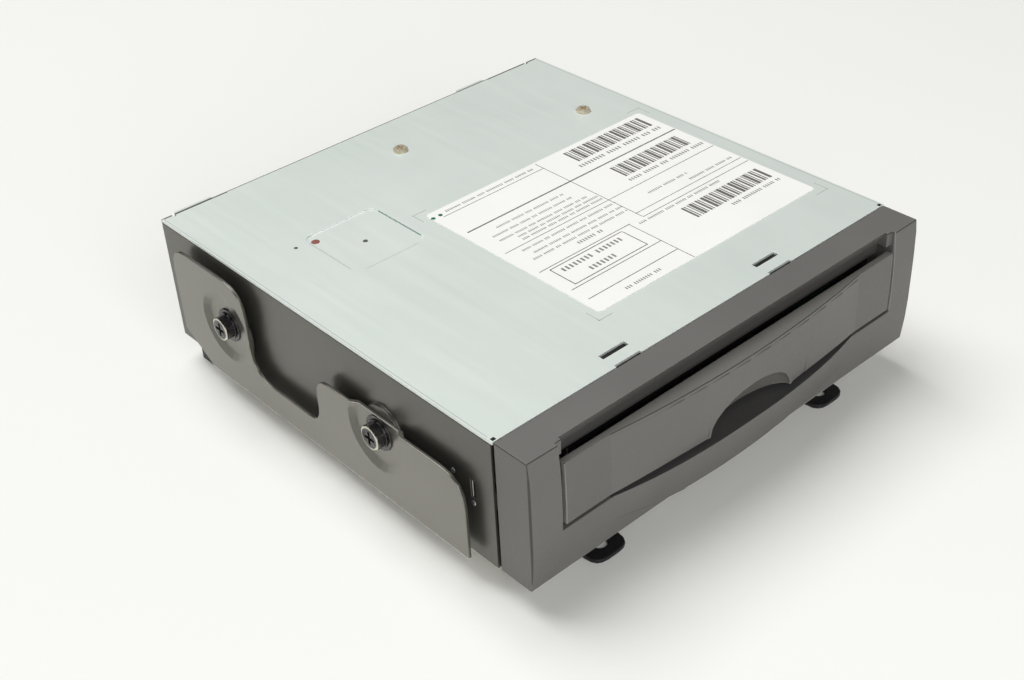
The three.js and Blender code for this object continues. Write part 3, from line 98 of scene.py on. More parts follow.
# %% [markdown]
# The camera stands where the photograph was taken from. It could be moved about until the picture
# fits. Its place, direction and focal length were solved from the corners of the housing instead, so the
# model falls on the picture by itself.

# %% Camera
CAMERA_PLACE = (-0.28756, -0.32080, 0.31628)
CAMERA_AZIMUTH = math.radians(-40.516)
CAMERA_ELEVATION = math.radians(35.416)
CAMERA_ROLL = math.radians(-3.063)
FOCAL_LENGTH = 51.86
SENSOR_WIDTH = 36
NEAREST = 0.01

camera_data = bpy.data.cameras.new("photo_camera")
camera_data.lens = FOCAL_LENGTH
camera_data.sensor_width = SENSOR_WIDTH
camera_data.sensor_fit = "HORIZONTAL"
camera_data.clip_start = NEAREST
camera = bpy.data.objects.new("photo_camera", camera_data)
bpy.context.scene.collection.objects.link(camera)
backward = Vector((math.sin(CAMERA_AZIMUTH) * math.cos(CAMERA_ELEVATION),
                   -math.cos(CAMERA_AZIMUTH) * math.cos(CAMERA_ELEVATION),
                   math.sin(CAMERA_ELEVATION)))
level = Vector((math.cos(CAMERA_AZIMUTH), math.sin(CAMERA_AZIMUTH), 0))
upward = backward.cross(level)
rightward = level * math.cos(CAMERA_ROLL) + upward * math.sin(CAMERA_ROLL)
upward = upward * math.cos(CAMERA_ROLL) - level * math.sin(CAMERA_ROLL)
turn = Matrix((rightward, upward, backward)).transposed()
camera.matrix_world = Matrix.Translation(CAMERA_PLACE) @ turn.to_4x4()
bpy.context.scene.camera = camera
bpy.context.scene.view_settings.view_transform = "Standard"
print("The camera stands at", tuple(round(side, DECIMALS) for side in camera.location))

# %% [markdown]
# ## Tools for the finishes
# Colours are written as a paint chart gives them, from 0 to 255, because that is what one reads off a
# picture. Blender counts in linear light, so each is taken through the standard curve: a straight foot
# for the darkest tones and a power for all others.

# %% Colours
FULL_LEVEL = 255
FOOT_END = 0.04045
FOOT_SLOPE = 12.92
CURVE_SHIFT = 0.055
CURVE_POWER = 2.4
MIDDLE_GREY = 128


def tint(red, green, blue):
    """A colour from 0 to 255 as Blender's linear red, green, blue and alpha."""
    def linear(level):
        share = level / FULL_LEVEL
        if share <= FOOT_END:
            return share / FOOT_SLOPE
        return ((share + CURVE_SHIFT) / (1 + CURVE_SHIFT)) ** CURVE_POWER
    return (linear(red), linear(green), linear(blue), 1)


print("A middle grey is", round(tint(MIDDLE_GREY, MIDDLE_GREY, MIDDLE_GREY)[0], DECIMALS), "in linear light")

# %% [markdown]
# Every finish is a small network of nodes around one shader. Noise makes its clouds and its grain. A
# painted picture could do the same, but noise has no seams and reads the piece's own coordinates.

# %% Bare shader and noise
EVEN = (1, 1, 1)


def blank_material(name):
    """A material with only its output and a Principled shader."""
    material = bpy.data.materials.new(name)
    material.use_nodes = True
    tree = material.node_tree
    tree.nodes.clear()
    output = tree.nodes.new("ShaderNodeOutputMaterial")
    shader = tree.nodes.new("ShaderNodeBsdfPrincipled")
    tree.links.new(shader.outputs["BSDF"], output.inputs["Surface"])
    return material, tree, shader


def noise(tree, scale, detail, stretch=EVEN):
    """Noise on the piece's own coordinates. Scale is in waves per metre."""
    place = tree.nodes.new("ShaderNodeTexCoord")
    mapping = tree.nodes.new("ShaderNodeMapping")
    mapping.inputs["Scale"].default_value = stretch
    texture = tree.nodes.new("ShaderNodeTexNoise")
    texture.inputs["Scale"].default_value = scale
    texture.inputs["Detail"].default_value = detail
    tree.links.new(place.outputs["Object"], mapping.inputs["Vector"])
    tree.links.new(mapping.outputs["Vector"], texture.inputs["Vector"])
    return texture.outputs["Fac"]


print("Materials before the finishes:", len(bpy.data.materials))

# %% [markdown]
# A range node turns noise into a gloss or a share, and a mix node lays one colour over another. Noise
# keeps near its middle, so its usual range is spread over all that is asked for. The mix node has
# sockets for numbers, vectors and colours, and those for colours are found by their order.

# %% Ranges and mixes
NOISE_LOW, NOISE_HIGH = 0.3, 0.7
MIX_SHARE, MIX_FIRST, MIX_SECOND, MIX_RESULT = 0, 6, 7, 2


def remap(tree, value, low, high, start=NOISE_LOW, end=NOISE_HIGH):
    """A value from start to end, by default the range of noise, spread over low to high."""
    node = tree.nodes.new("ShaderNodeMapRange")
    node.inputs["From Min"].default_value = start
    node.inputs["From Max"].default_value = end
    node.inputs["To Min"].default_value = low
    node.inputs["To Max"].default_value = high
    tree.links.new(value, node.inputs["Value"])
    return node.outputs["Result"]


def blended(tree, share, first, second):
    """A colour between two, by a share from 0 to 1."""
    node = tree.nodes.new("ShaderNodeMix")
    node.data_type = "RGBA"
    for socket, colour in ((node.inputs[MIX_FIRST], first), (node.inputs[MIX_SECOND], second)):
        if isinstance(colour, tuple):
            socket.default_value = colour
        else:
            tree.links.new(colour, socket)
    tree.links.new(share, node.inputs[MIX_SHARE])
    return node.outputs[MIX_RESULT]


print("Noise is read from", NOISE_LOW, "to", NOISE_HIGH)

# %% [markdown]
# Some patterns need sums, such as a distance to an axis or a band between two heights. Each step of
# such a sum is one Math node on the piece's own coordinates, so the pattern stays on the piece.


# %% Sums on coordinates
def sum_of(tree, operation, first, second=0.0):
    """One step of arithmetic. Each side is a socket or a number."""
    node = tree.nodes.new("ShaderNodeMath")
    node.operation = operation
    for socket, value in ((node.inputs[0], first), (node.inputs[1], second)):
        if isinstance(value, (int, float)):
            socket.default_value = value
        else:
            tree.links.new(value, socket)
    return node.outputs["Value"]


def axes_of(tree):
    """The piece's own x, y and z as three sockets, in metres."""
    place = tree.nodes.new("ShaderNodeTexCoord")
    parts = tree.nodes.new("ShaderNodeSeparateXYZ")
    tree.links.new(place.outputs["Object"], parts.inputs["Vector"])
    return parts.outputs["X"], parts.outputs["Y"], parts.outputs["Z"]


print("Coordinates are in metres, so one millimetre is", MM)

# %% [markdown]
# Many edges of this object show as thin lines in the picture: rims and creases that lie in shade, edges
# that catch the light, seams that lie in shade. Here they are painted shade and painted highlights. Thin
# strips could be modelled for them. A band of colour between two coordinates is simpler, keeps the mesh
# clean and stays on its edge when the piece moves.


# %% Lines on edges
def band(tree, value, low, high):
    """One between two coordinates in metres, nought elsewhere."""
    return sum_of(tree, "MULTIPLY", sum_of(tree, "GREATER_THAN", value, low),
                  sum_of(tree, "LESS_THAN", value, high))


def lined(tree, colour, lines):
    """Lines of painted light and shade over a colour. Each has its limits in x, y and z, or None, and its
    own colour.

    Positive limits in x count on both sides of the middle, negative ones on the left alone.
    """
    x, y, z = axes_of(tree)
    both_sides = sum_of(tree, "ABSOLUTE", x)
    for limits_x, limits_y, limits_z, line in lines:
        mask = None
        sideways = x if limits_x and limits_x[0] < 0 else both_sides
        for value, limits in ((sideways, limits_x), (y, limits_y), (z, limits_z)):
            if limits:
                part = band(tree, value, *limits)
                mask = sum_of(tree, "MULTIPLY", mask, part) if mask else part
        colour = blended(tree, mask, colour, line)
    return colour


print("The tray reaches from", round(tray_low.z, DECIMALS), "up to", round(tray_high.z, DECIMALS))

# %% [markdown]
# Two families cover almost all of this object. Sheet metal comes first: a satin gloss that changes in
# broad clouds and in fine streaks along the rolling direction. The streaks also give a slight bump,
# except where a mirror-like wall would show it as speckles.

# %% Metal family
METAL_CLOUDS = 18
METAL_STREAKS = 400
METAL_GRAIN = 0.001


def relief(tree, shader, height, depth):
    """Bump on the shader, its depth in millimetres."""
    bump = tree.nodes.new("ShaderNodeBump")
    bump.inputs["Distance"].default_value = depth * MM
    tree.links.new(height, bump.inputs["Height"])
    tree.links.new(bump.outputs["Normal"], shader.inputs["Normal"])


def metal_finish(name, light, dark, metallic, gloss, clouds=METAL_CLOUDS, streak=EVEN,
                 grain=METAL_GRAIN, lines=()):
    """Plated or plain metal: two close colours in clouds, lines of painted light and shade on its edges and
    streaks in its gloss.
    """
    material, tree, shader = blank_material(name)
    shader.inputs["Metallic"].default_value = metallic
    cloud = remap(tree, noise(tree, clouds, detail=4), 0, 1)
    colour = blended(tree, cloud, light, dark)
    tree.links.new(lined(tree, colour, lines), shader.inputs["Base Color"])
    streaks = noise(tree, METAL_STREAKS, detail=5, stretch=streak)
    tree.links.new(remap(tree, streaks, *gloss), shader.inputs["Roughness"])
    if grain:
        relief(tree, shader, streaks, grain)
    return material


print("Metal streaks per metre:", METAL_STREAKS)

# %% [markdown]
# Moulded plastic has a fine even grain, taken over from the wall of its mould. One noise drives both
# the gloss and the bump, so that each grain is a small dull spot as well.

# %% Plastic family
PLASTIC_CLOUDS = 30
PLASTIC_GRAINS = 1400
PLASTIC_GRAIN = 0.02


def plastic_finish(name, light, dark, gloss, grains=PLASTIC_GRAINS, grain=PLASTIC_GRAIN, lines=()):
    """Moulded plastic: a faint change of tone, lines of painted light and shade on its edges and a fine
    grain.
    """
    material, tree, shader = blank_material(name)
    cloud = remap(tree, noise(tree, PLASTIC_CLOUDS, detail=3), 0, 1)
    colour = blended(tree, cloud, light, dark)
    tree.links.new(lined(tree, colour, lines), shader.inputs["Base Color"])
    texture = noise(tree, grains, detail=2)
    tree.links.new(remap(tree, texture, *gloss), shader.inputs["Roughness"])
    relief(tree, shader, texture, grain)
    return material


print("Plastic grains per metre:", PLASTIC_GRAINS)

# %% [markdown]
# The lines of the front, read off the picture, are painted light and shade. Painted shade darkens the
# bezel's top rims, its front corners, the shelf behind the flap and the flap's crease, and painted
# highlights lie on the lower rims, the recess corners, the snap's edge and the flap's ends and foot. The
# hooks behind the bezel are painted nearly black as shade, because no light reaches them through the
# slots. Painted shade makes the flap's two ends darker than its bowed middle. Each line is written as a
# designer would dimension it, across, in depth and in height.


# %% Lines of the front
def reach(*ends):
    """Depths behind the seam, in millimetres, as a pair in metres."""
    return tuple(SEAM + end * MM for end in ends)


def lift(*ends):
    """Heights above the underside, in millimetres, as a pair in metres."""
    return tuple(UNDERSIDE + end * MM for end in ends)


def across(*ends):
    """Distances from the middle, in millimetres, as a pair in metres."""
    return tuple(end * MM for end in ends)


# Painted shade: a dark line on rims, corners, creases and seams where shade falls.
PAINTED_SHADE_LINE = tint(58, 57, 56)
# Painted shade: near black where no light reaches.
DEEP_SHADE = tint(24, 23, 24)
# Painted highlight: a light line for edges that catch the light.
PAINTED_HIGHLIGHT_LINE = tint(138, 137, 134)
# Painted highlight: the glint on the edge of the snap's slot.
SNAP_GLINT = tint(250, 249, 244)
# Painted shade on the shelf and pocket behind the flap.
SHELF_SHADE = tint(74, 73, 73)
# Painted shade: the flap's two ends darker than its middle, where less light falls on them.
FLAP_END_SHADE = tint(102, 101, 98)
# Painted shade along the bezel's top rims and down its front corners.
TOP_RIM_SHADE = (None, None, lift(47.75, 48.12), PAINTED_SHADE_LINE)
FRONT_CORNER_SHADE = (across(88.27, 88.57), reach(-15.2, -14.1), None, PAINTED_SHADE_LINE)
# Painted shade: the hooks behind the bezel in near black.
HOOK_SHADE = (None, reach(3, 20), None, DEEP_SHADE)
SNAP_HIGHLIGHT = (across(80, 90), reach(9.3, 10.2), lift(22, 28.4), SNAP_GLINT)
SHADED_SHELF = (across(0, 57), reach(-22, 0), lift(17.1, 38), SHELF_SHADE)
# Painted highlights along the bezel's lower rim and its recess corners.
BOTTOM_RIM_HIGHLIGHT = (None, None, lift(-0.4, 0.12), PAINTED_HIGHLIGHT_LINE)
RECESS_CORNER_HIGHLIGHT = (across(76.6, 76.95), reach(-16, -14), lift(18, 48.2), PAINTED_HIGHLIGHT_LINE)
BEZEL_LINES = (TOP_RIM_SHADE, FRONT_CORNER_SHADE, HOOK_SHADE, SNAP_HIGHLIGHT, SHADED_SHELF, BOTTOM_RIM_HIGHLIGHT, RECESS_CORNER_HIGHLIGHT)
# Painted highlights on the flap's ends and foot, and painted shade in its upper crease.
FLAP_END_HIGHLIGHT = (across(75.15, 75.6), reach(-22, -14), None, PAINTED_HIGHLIGHT_LINE)
FLAP_FOOT_HIGHLIGHT = (None, reach(-22, -14.5), lift(18.5, 18.95), PAINTED_HIGHLIGHT_LINE)
FLAP_CREASE_SHADE = (None, reach(-22, -14.5), lift(40.88, 41.16), PAINTED_SHADE_LINE)
# Painted shade over the flap's two ends.
FLAP_SIDE_SHADE = (across(57.4, 75.15), reach(-22, -14.5), None, FLAP_END_SHADE)
FLAP_LINES = (FLAP_END_HIGHLIGHT, FLAP_FOOT_HIGHLIGHT, FLAP_CREASE_SHADE, FLAP_SIDE_SHADE)
print("Lines on the bezel:", len(BEZEL_LINES), "and on the flap:", len(FLAP_LINES))

# %% [markdown]
# The lines of the sheet are painted light and shade as well. Painted highlights and painted shade trace
# the outline of the cover's sunk pad and its folds, painted shade darkens its rear corners, and two relief
# holes at its front corners are painted near black as shade. The tray has painted shade under the
# cover's edge, and the lowest edges of the tray and the brackets carry a painted highlight.

# %% Lines of the sheet
# Painted highlight along the lowest edges of the tray and the brackets.
PAINTED_EDGE_HIGHLIGHT = tint(226, 224, 214)
# Painted shade: a faint darker line along the pad's edges and the side folds.
FAINT_PAINTED_SHADE = tint(186, 192, 187)
# Painted highlight on the pad's rear edge, painted shade on its other three edges.
PAD_REAR_HIGHLIGHT = (across(-58.5, -36), reach(125.1, 125.7), None, tint(246, 249, 246))
PAD_RIGHT_SHADE = (across(-32.85, -32.45), reach(98.5, 122), None, tint(160, 178, 171))
PAD_LEFT_SHADE = (across(-62.35, -61.9), reach(98.5, 121.5), None, FAINT_PAINTED_SHADE)
PAD_FRONT_SHADE = (across(-58.5, -36.5), reach(94.8, 95.3), None, FAINT_PAINTED_SHADE)
# Painted shade along the side folds, the rear fold and the rear corners, and in the relief holes.
SIDE_FOLD_SHADE = (across(88.1, 88.35), reach(2, 172), None, FAINT_PAINTED_SHADE)
REAR_FOLD_SHADE = (None, reach(171.7, 172.4), None, tint(118, 120, 114))
REAR_CORNER_SHADE = (across(62, 88), reach(171.4, 172.4), None, tint(92, 94, 88))
RELIEF_HOLE_SHADE = (across(86.9, 88.3), reach(-0.4, 0.9), None, DEEP_SHADE)
COVER_LINES = (PAD_REAR_HIGHLIGHT, PAD_RIGHT_SHADE, PAD_LEFT_SHADE, PAD_FRONT_SHADE, SIDE_FOLD_SHADE, REAR_FOLD_SHADE, REAR_CORNER_SHADE,
               RELIEF_HOLE_SHADE)
# Painted shade under the cover's edge, and a painted highlight along the tray's lowest edge.
TRAY_LINES = ((None, None, lift(46.9, 47.7), PAINTED_SHADE_LINE), (None, None, lift(-0.1, 0.25), PAINTED_EDGE_HIGHLIGHT))
# Painted highlight along the brackets' lowest edge.
FOOT_LINE = 0.35
bracket_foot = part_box("side_bracket_left")[0].z
BRACKET_LINES = ((None, None, (bracket_foot - MM, bracket_foot + FOOT_LINE * MM), PAINTED_EDGE_HIGHLIGHT),)
print("Lines on the cover:", len(COVER_LINES))

# %% [markdown]
# ## The finishes of this object
# Each row of a finish gives its light and its dark tone, for metal also how metallic it is, and the
# range of its roughness. The cover and the tray are zinc-plated sheet, and the cover's streaks run along
# its depth. The tray's wall mirrors the pale floor, so its own colour is written darker than it looks
# in the picture.

# %% Zinc sheet
ALONG_DEPTH = (1, 0.05, 1)
finishes = {
    "zinc_cover": metal_finish("cover zinc", tint(228, 235, 229), tint(222, 230, 224), 0.25,
                               (0.4, 0.46), streak=ALONG_DEPTH, lines=COVER_LINES),
    "zinc_tray": metal_finish("tray zinc", tint(100, 99, 93), tint(93, 92, 87), 0.7,
                              (0.28, 0.3), grain=0, lines=TRAY_LINES),
}
print("Zinc finishes:", len(finishes))

# %% [markdown]
# The label is a white plastic film with two greys of ink: the bars and rules are darker than the small
# type. The marking paints have dried satin. The scribed corners are bare zinc that has dulled.

# %% Label, ink and paint
finishes.update({
    "label_paper": plastic_finish("label film", tint(251, 251, 247), tint(247, 247, 243), (0.4, 0.5)),
    "label_ink": plastic_finish("label ink", tint(112, 110, 104), tint(98, 96, 90), (0.6, 0.7)),
    "type_ink": plastic_finish("type ink", tint(142, 140, 133), tint(128, 126, 119), (0.6, 0.7)),
    "red_paint": plastic_finish("red marking paint", tint(146, 88, 76), tint(130, 76, 64), (0.4, 0.5)),
    "dark_paint": plastic_finish("dark marking paint", tint(92, 92, 90), tint(80, 80, 78), (0.3, 0.4)),
    "green_paint": plastic_finish("green marking paint", tint(20, 108, 84), tint(14, 92, 70), (0.3, 0.4)),
    "scribed_zinc": plastic_finish("scribed zinc", tint(184, 190, 184), tint(172, 178, 172), (0.5, 0.6)),
})
print("With the label's:", len(finishes))

# %% [markdown]
# The bezel and the flap are one grey plastic from two moulds. Behind them are a black fascia, felt
# that wipes the dust off a disc, a dark button and a clear light pipe.

# %% Front plastics
FELT_FIBRES = 3000
FELT_DEPTH = 0.2
finishes.update({
    "bezel_plastic": plastic_finish("bezel plastic", tint(109, 107, 104), tint(103, 101, 98),
                                    (0.42, 0.54), lines=BEZEL_LINES),
    "flap_plastic": plastic_finish("flap plastic", tint(110, 108, 104), tint(104, 102, 98),
                                   (0.42, 0.54), lines=FLAP_LINES),
    "black_plastic": plastic_finish("black plastic", tint(30, 30, 32), tint(24, 24, 26), (0.45, 0.6)),
    "felt": plastic_finish("dust felt", tint(34, 34, 36), tint(18, 18, 20), (0.9, 1),
                           grains=FELT_FIBRES, grain=FELT_DEPTH),
    "button_plastic": plastic_finish("button plastic", tint(62, 62, 64), tint(54, 54, 56), (0.4, 0.5)),
    "clear_plastic": plastic_finish("clear plastic", tint(205, 214, 210), tint(190, 200, 196), (0.1, 0.15)),
})
print("With the front's:", len(finishes))

# %% [markdown]
# The hexagon screws are dark steel, and their turned chamfer carries a painted highlight: a bright ring
# where it catches the light. The ring could be a piece of its own. Here it is found from the distance to
# the screw's axis, and one formula serves all four screws, because they stand at equal distances from
# the middle of the housing's side.

# %% Screw finish
SCREW_HEIGHT = 24.5
SCREW_MIDDLE = 90.9
SCREW_HALF = 41.1
RIM_START = 95.2
RIM_RADIUS = 3.55
# Painted highlight: the bright ring on the chamfer.
PAINTED_RIM_HIGHLIGHT = tint(206, 202, 188)
OILY_LIGHT = tint(100, 98, 96)
OILY_DARK = tint(58, 57, 60)
OIL_CLOUDS = 300
OIL_SMEARS = 500
OIL_GLOSS = (0.2, 0.34)
SCREW_METAL = 0.9


def screw_finish():
    """Dark steel with a painted highlight ring on the head's chamfer."""
    material, tree, shader = blank_material("hexagon screw")
    x, y, z = axes_of(tree)
    middle = spot(0, SCREW_MIDDLE, SCREW_HEIGHT)
    along = sum_of(tree, "ABSOLUTE", sum_of(tree, "SUBTRACT", y, middle.y))
    off_y = sum_of(tree, "SUBTRACT", along, SCREW_HALF * MM)
    off_z = sum_of(tree, "SUBTRACT", z, middle.z)
    square = sum_of(tree, "ADD", sum_of(tree, "MULTIPLY", off_y, off_y),
                    sum_of(tree, "MULTIPLY", off_z, off_z))
    far_out = sum_of(tree, "GREATER_THAN", square, (RIM_RADIUS * MM) ** 2)
    at_head = sum_of(tree, "GREATER_THAN", sum_of(tree, "ABSOLUTE", x), RIM_START * MM)
    # Where the painted highlight lies: out from the axis and on the head.
    rim_highlight = sum_of(tree, "MULTIPLY", far_out, at_head)
    clouds = remap(tree, noise(tree, OIL_CLOUDS, detail=4), 0, 1)
    steel = blended(tree, clouds, OILY_LIGHT, OILY_DARK)
    tree.links.new(blended(tree, rim_highlight, steel, PAINTED_RIM_HIGHLIGHT), shader.inputs["Base Color"])
    smears = remap(tree, noise(tree, OIL_SMEARS, detail=4), *OIL_GLOSS)
    tree.links.new(smears, shader.inputs["Roughness"])
    shader.inputs["Metallic"].default_value = SCREW_METAL
    return material


finishes["screw_steel"] = screw_finish()
print("The ring starts", RIM_RADIUS, "mm from the screw's axis")

# %% [markdown]
# The brackets are satin steel and the feet are blackened. The cover's screws are yellow zinc, which is
# really a thin rainbow film, so its two tones lie further apart and in small clouds. Bright steel is for
# rods, springs and motors inside.

# %% Bracket steel and fasteners
FILM_CLOUDS = 300
finishes.update({
    "bracket_steel": metal_finish("bracket steel", tint(134, 132, 125), tint(129, 127, 120), 0.85,
                                  (0.29, 0.31), grain=0, lines=BRACKET_LINES),
    "black_steel": metal_finish("black steel", tint(44, 42, 46), tint(32, 31, 34), 0.3, (0.35, 0.5)),
    "yellow_zinc": metal_finish("yellow zinc", tint(222, 212, 190), tint(206, 194, 168), 0.5,
                                (0.25, 0.4), clouds=FILM_CLOUDS),
    "bright_steel": metal_finish("bright steel", tint(176, 178, 178), tint(150, 152, 153), 0.9,
                                 (0.25, 0.4)),
})
print("With the steel's:", len(finishes))

# %% [markdown]
# The rest is inside: green lacquered boards with a dark chip, brass for the worm and the antenna socket,
# pale gears, rubber and an amber ribbon. Hardly any of it is seen, so the two families serve as they are.

# %% Inner finishes
finishes.update({
    "circuit_board": plastic_finish("board lacquer", tint(30, 92, 52), tint(22, 76, 44), (0.3, 0.4)),
    "chip_epoxy": plastic_finish("chip epoxy", tint(30, 30, 31), tint(24, 24, 25), (0.5, 0.6)),
    "brass": metal_finish("brass", tint(190, 160, 96), tint(170, 140, 82), 1, (0.25, 0.4)),
    "gear_plastic": plastic_finish("gear plastic", tint(226, 222, 206), tint(216, 212, 196), (0.4, 0.5)),
    "rubber": plastic_finish("rubber", tint(26, 26, 27), tint(20, 20, 21), (0.7, 0.85)),
    "ribbon_cable": plastic_finish("ribbon film", tint(198, 126, 66), tint(180, 108, 52), (0.25, 0.35)),
})
print("There are", len(finishes), "finishes")

# %% [markdown]
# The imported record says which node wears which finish. The list could be typed again here, but taking
# it from the record keeps the two alike.

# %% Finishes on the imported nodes
slot_of = {row["node"]: row["material_slot"] for row in frame["record"]["subparts"]}
for name, thing in nodes.items():
    thing.data.materials.clear()
    thing.data.materials.append(finishes[slot_of[name]])
print("Finished nodes:", len(slot_of))

# %% [markdown]
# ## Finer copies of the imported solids
# Sheet and plastic never end in a perfectly sharp edge. A real edge is a narrow roll that catches the
# light as a thin line. So some nodes get a finer copy, which rides on the same body and hides the node.
# The hidden node stays in the file, because the frame must not change.


# %% A piece and its body
def finish_piece(piece, name, body, slot, hidden=()):
    """Names a piece, lets it ride on its body, dresses it and hides the nodes that it stands for."""
    piece.name = name
    piece.data.name = name
    piece.data.materials.clear()
    piece.data.materials.append(finishes[slot])
    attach(piece, body)
    if hidden:
        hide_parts(*hidden)
    return piece


print("Nodes that a copy can stand for:", len(nodes))

# %% [markdown]
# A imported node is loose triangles. The copy joins their points, clears slivers away and melts flat
# neighbours into one face, because a roll needs whole faces beside its edge. Merging by hand in edit
# mode does the same.

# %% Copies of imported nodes
MERGE_DISTANCE = 0.005
SLIVER = 0.03
FLAT_ANGLE = math.radians(0.5)


def pick(piece, kind, wanted):
    """Leaves only those vertices or edges selected that are wanted. Ends in edit mode."""
    bpy.ops.object.mode_set(mode="EDIT")
    bpy.ops.mesh.select_mode(type=kind)
    bpy.ops.mesh.select_all(action="DESELECT")
    bpy.ops.object.mode_set(mode="OBJECT")
    points = piece.data.vertices
    for part in points if kind == "VERT" else piece.data.edges:
        ends = [part.co] if kind == "VERT" else [points[index].co for index in part.vertices]
        part.select = all(wanted(point) for point in ends)
    bpy.ops.object.mode_set(mode="EDIT")


def node_copy(name, short_edge=SLIVER, near=None, flat=FLAT_ANGLE):
    """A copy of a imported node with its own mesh, merged, selected and active."""
    bpy.ops.object.select_all(action="DESELECT")
    piece = nodes[name].copy()
    piece.data = nodes[name].data.copy()
    piece.parent = None
    del piece["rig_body"], piece["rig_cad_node"]
    bpy.context.scene.collection.objects.link(piece)
    piece.select_set(True)
    bpy.context.view_layer.objects.active = piece
    bpy.ops.object.mode_set(mode="EDIT")
    bpy.ops.mesh.select_all(action="SELECT")
    bpy.ops.mesh.remove_doubles(threshold=MERGE_DISTANCE * MM)
    bpy.ops.mesh.dissolve_degenerate(threshold=SLIVER * MM)
    bpy.ops.mesh.dissolve_limited(angle_limit=flat)
    if near:
        pick(piece, "VERT", near)
        bpy.ops.mesh.dissolve_degenerate(threshold=short_edge * MM)
    bpy.ops.object.mode_set(mode="OBJECT")
    return piece


print("Points closer than", MERGE_DISTANCE, "mm are joined")

# %% [markdown]
# The roll itself is the bevel operator on the sharp edges. A live Bevel modifier would be easier to
# change, but the operator takes just the edges that are selected, so a region can be left out. The rims
# of the roll are marked sharp, so smooth shading stops there, and weighted normals keep faces flat.

# %% Rolled edges
SMOOTH_ANGLE = math.radians(40)


def apply_modifier(piece, kind, **values):
    """Adds a modifier with its values and applies it at once."""
    modifier = piece.modifiers.new(kind.lower(), kind)
    for key, value in values.items():
        setattr(modifier, key, value)
    bpy.context.view_layer.objects.active = piece
    bpy.ops.object.modifier_apply(modifier=modifier.name)


def roll_edges(piece, roll, sharp, steps, near=None, smooth=SMOOTH_ANGLE):
    """Rolls the sharp edges by so many millimetres, all of them or those in one region."""
    bpy.ops.object.mode_set(mode="EDIT")
    bpy.ops.mesh.select_mode(type="EDGE")
    bpy.ops.mesh.select_all(action="DESELECT")
    bpy.ops.mesh.edges_select_sharp(sharpness=math.radians(sharp))
    bpy.ops.object.mode_set(mode="OBJECT")
    points = piece.data.vertices
    if near:
        for edge in piece.data.edges:
            edge.select = edge.select and all(near(points[index].co) for index in edge.vertices)
    bpy.ops.object.mode_set(mode="EDIT")
    bpy.ops.mesh.bevel(offset=roll * MM, segments=steps, affect="EDGES", clamp_overlap=False,
                       miter_outer="SHARP")
    bpy.ops.mesh.region_to_loop()
    bpy.ops.mesh.mark_sharp()
    bpy.ops.mesh.select_mode(type="FACE")
    bpy.ops.object.mode_set(mode="OBJECT")
    bpy.ops.object.shade_smooth_by_angle(angle=smooth, keep_sharp_edges=True)
    apply_modifier(piece, "WEIGHTED_NORMAL", weight=100, keep_sharp=True)


def rounded_copy(name, roll, sharp, steps=2, smooth=SMOOTH_ANGLE):
    """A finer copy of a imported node, its edges rolled."""
    piece = node_copy(name)
    roll_edges(piece, roll, sharp, steps, smooth=smooth)
    return finish_piece(piece, name + "_fine", nodes[name]["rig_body"], slot_of[name], [name])


print("Smooth shading stops at", round(math.degrees(SMOOTH_ANGLE)), "degrees")

# %% [markdown]
# The bezel is moulded with soft edges of about a third of a millimetre, which give the front its soft
# outline. At its two ends the curved cove and lip run out in very short edges. Those are melted away
# first, since a roll would fold over them. The narrow recess of the hinge stays sharp.

# %% Bezel
SHORT_EDGE = 0.4
FRONT_SMOOTH = math.radians(20)
FRONT_ROLL = 0.3
FRONT_SHARP = 50
FRONT_STEPS = 5
CORNER_REGION = 80
RECESS_BACK = 12.95


def at_bezel_corner(point):
    """True near the bezel's two outer ends."""
    return abs(point.x) > CORNER_REGION * MM


def off_the_hinge(point):
    """True outside the narrow recess that takes the flap's hinge."""
    return point.y < SEAM - RECESS_BACK * MM or at_bezel_corner(point)


bezel = node_copy("front_bezel", SHORT_EDGE, at_bezel_corner)
roll_edges(bezel, FRONT_ROLL, FRONT_SHARP, FRONT_STEPS, off_the_hinge, FRONT_SMOOTH)
finish_piece(bezel, "front_bezel_fine", "housing", slot_of["front_bezel"], ["front_bezel"])
print("Bezel faces:", len(bezel.data.polygons))

# %% [markdown]
# The flap has the same soft edges. Under its top strip two runs of points almost meet, so they are
# merged first. No roll goes along that joint, or around the thumb notch, whose small fillets would
# pinch it.

# %% Flap
NOTCH_REGION = 24
NOTCH_TOP = 33
STRIP_FOOT = 39.8
STRIP_REACH = 0.1
JOINT_STEP = 0.04
FLAP_FLAT = math.radians(0.02)


def at_strip_foot(point):
    """True at the joint under the flap's top strip."""
    return abs(point.z - spot(0, 0, STRIP_FOOT).z) < STRIP_REACH * MM


def off_the_notch(point):
    """True away from the joint and from the thumb notch."""
    outside = abs(point.x) > NOTCH_REGION * MM or point.z > spot(0, 0, NOTCH_TOP).z
    return outside and not at_strip_foot(point)


flap = node_copy("flap_door", flat=FLAP_FLAT)
pick(flap, "VERT", at_strip_foot)
bpy.ops.mesh.remove_doubles(threshold=JOINT_STEP * MM)
bpy.ops.object.mode_set(mode="OBJECT")
roll_edges(flap, FRONT_ROLL, FRONT_SHARP, FRONT_STEPS, off_the_notch, FRONT_SMOOTH)
finish_piece(flap, "flap_door_fine", "flap", slot_of["flap_door"], ["flap_door"])
print("Flap faces:", len(flap.data.polygons))

# %% [markdown]
# Pressed sheet has a small roll on one side and a burr on the other. From a step away both read as one
# roll, so both sides get the same. It is widest on the feet and narrowest on the cover.

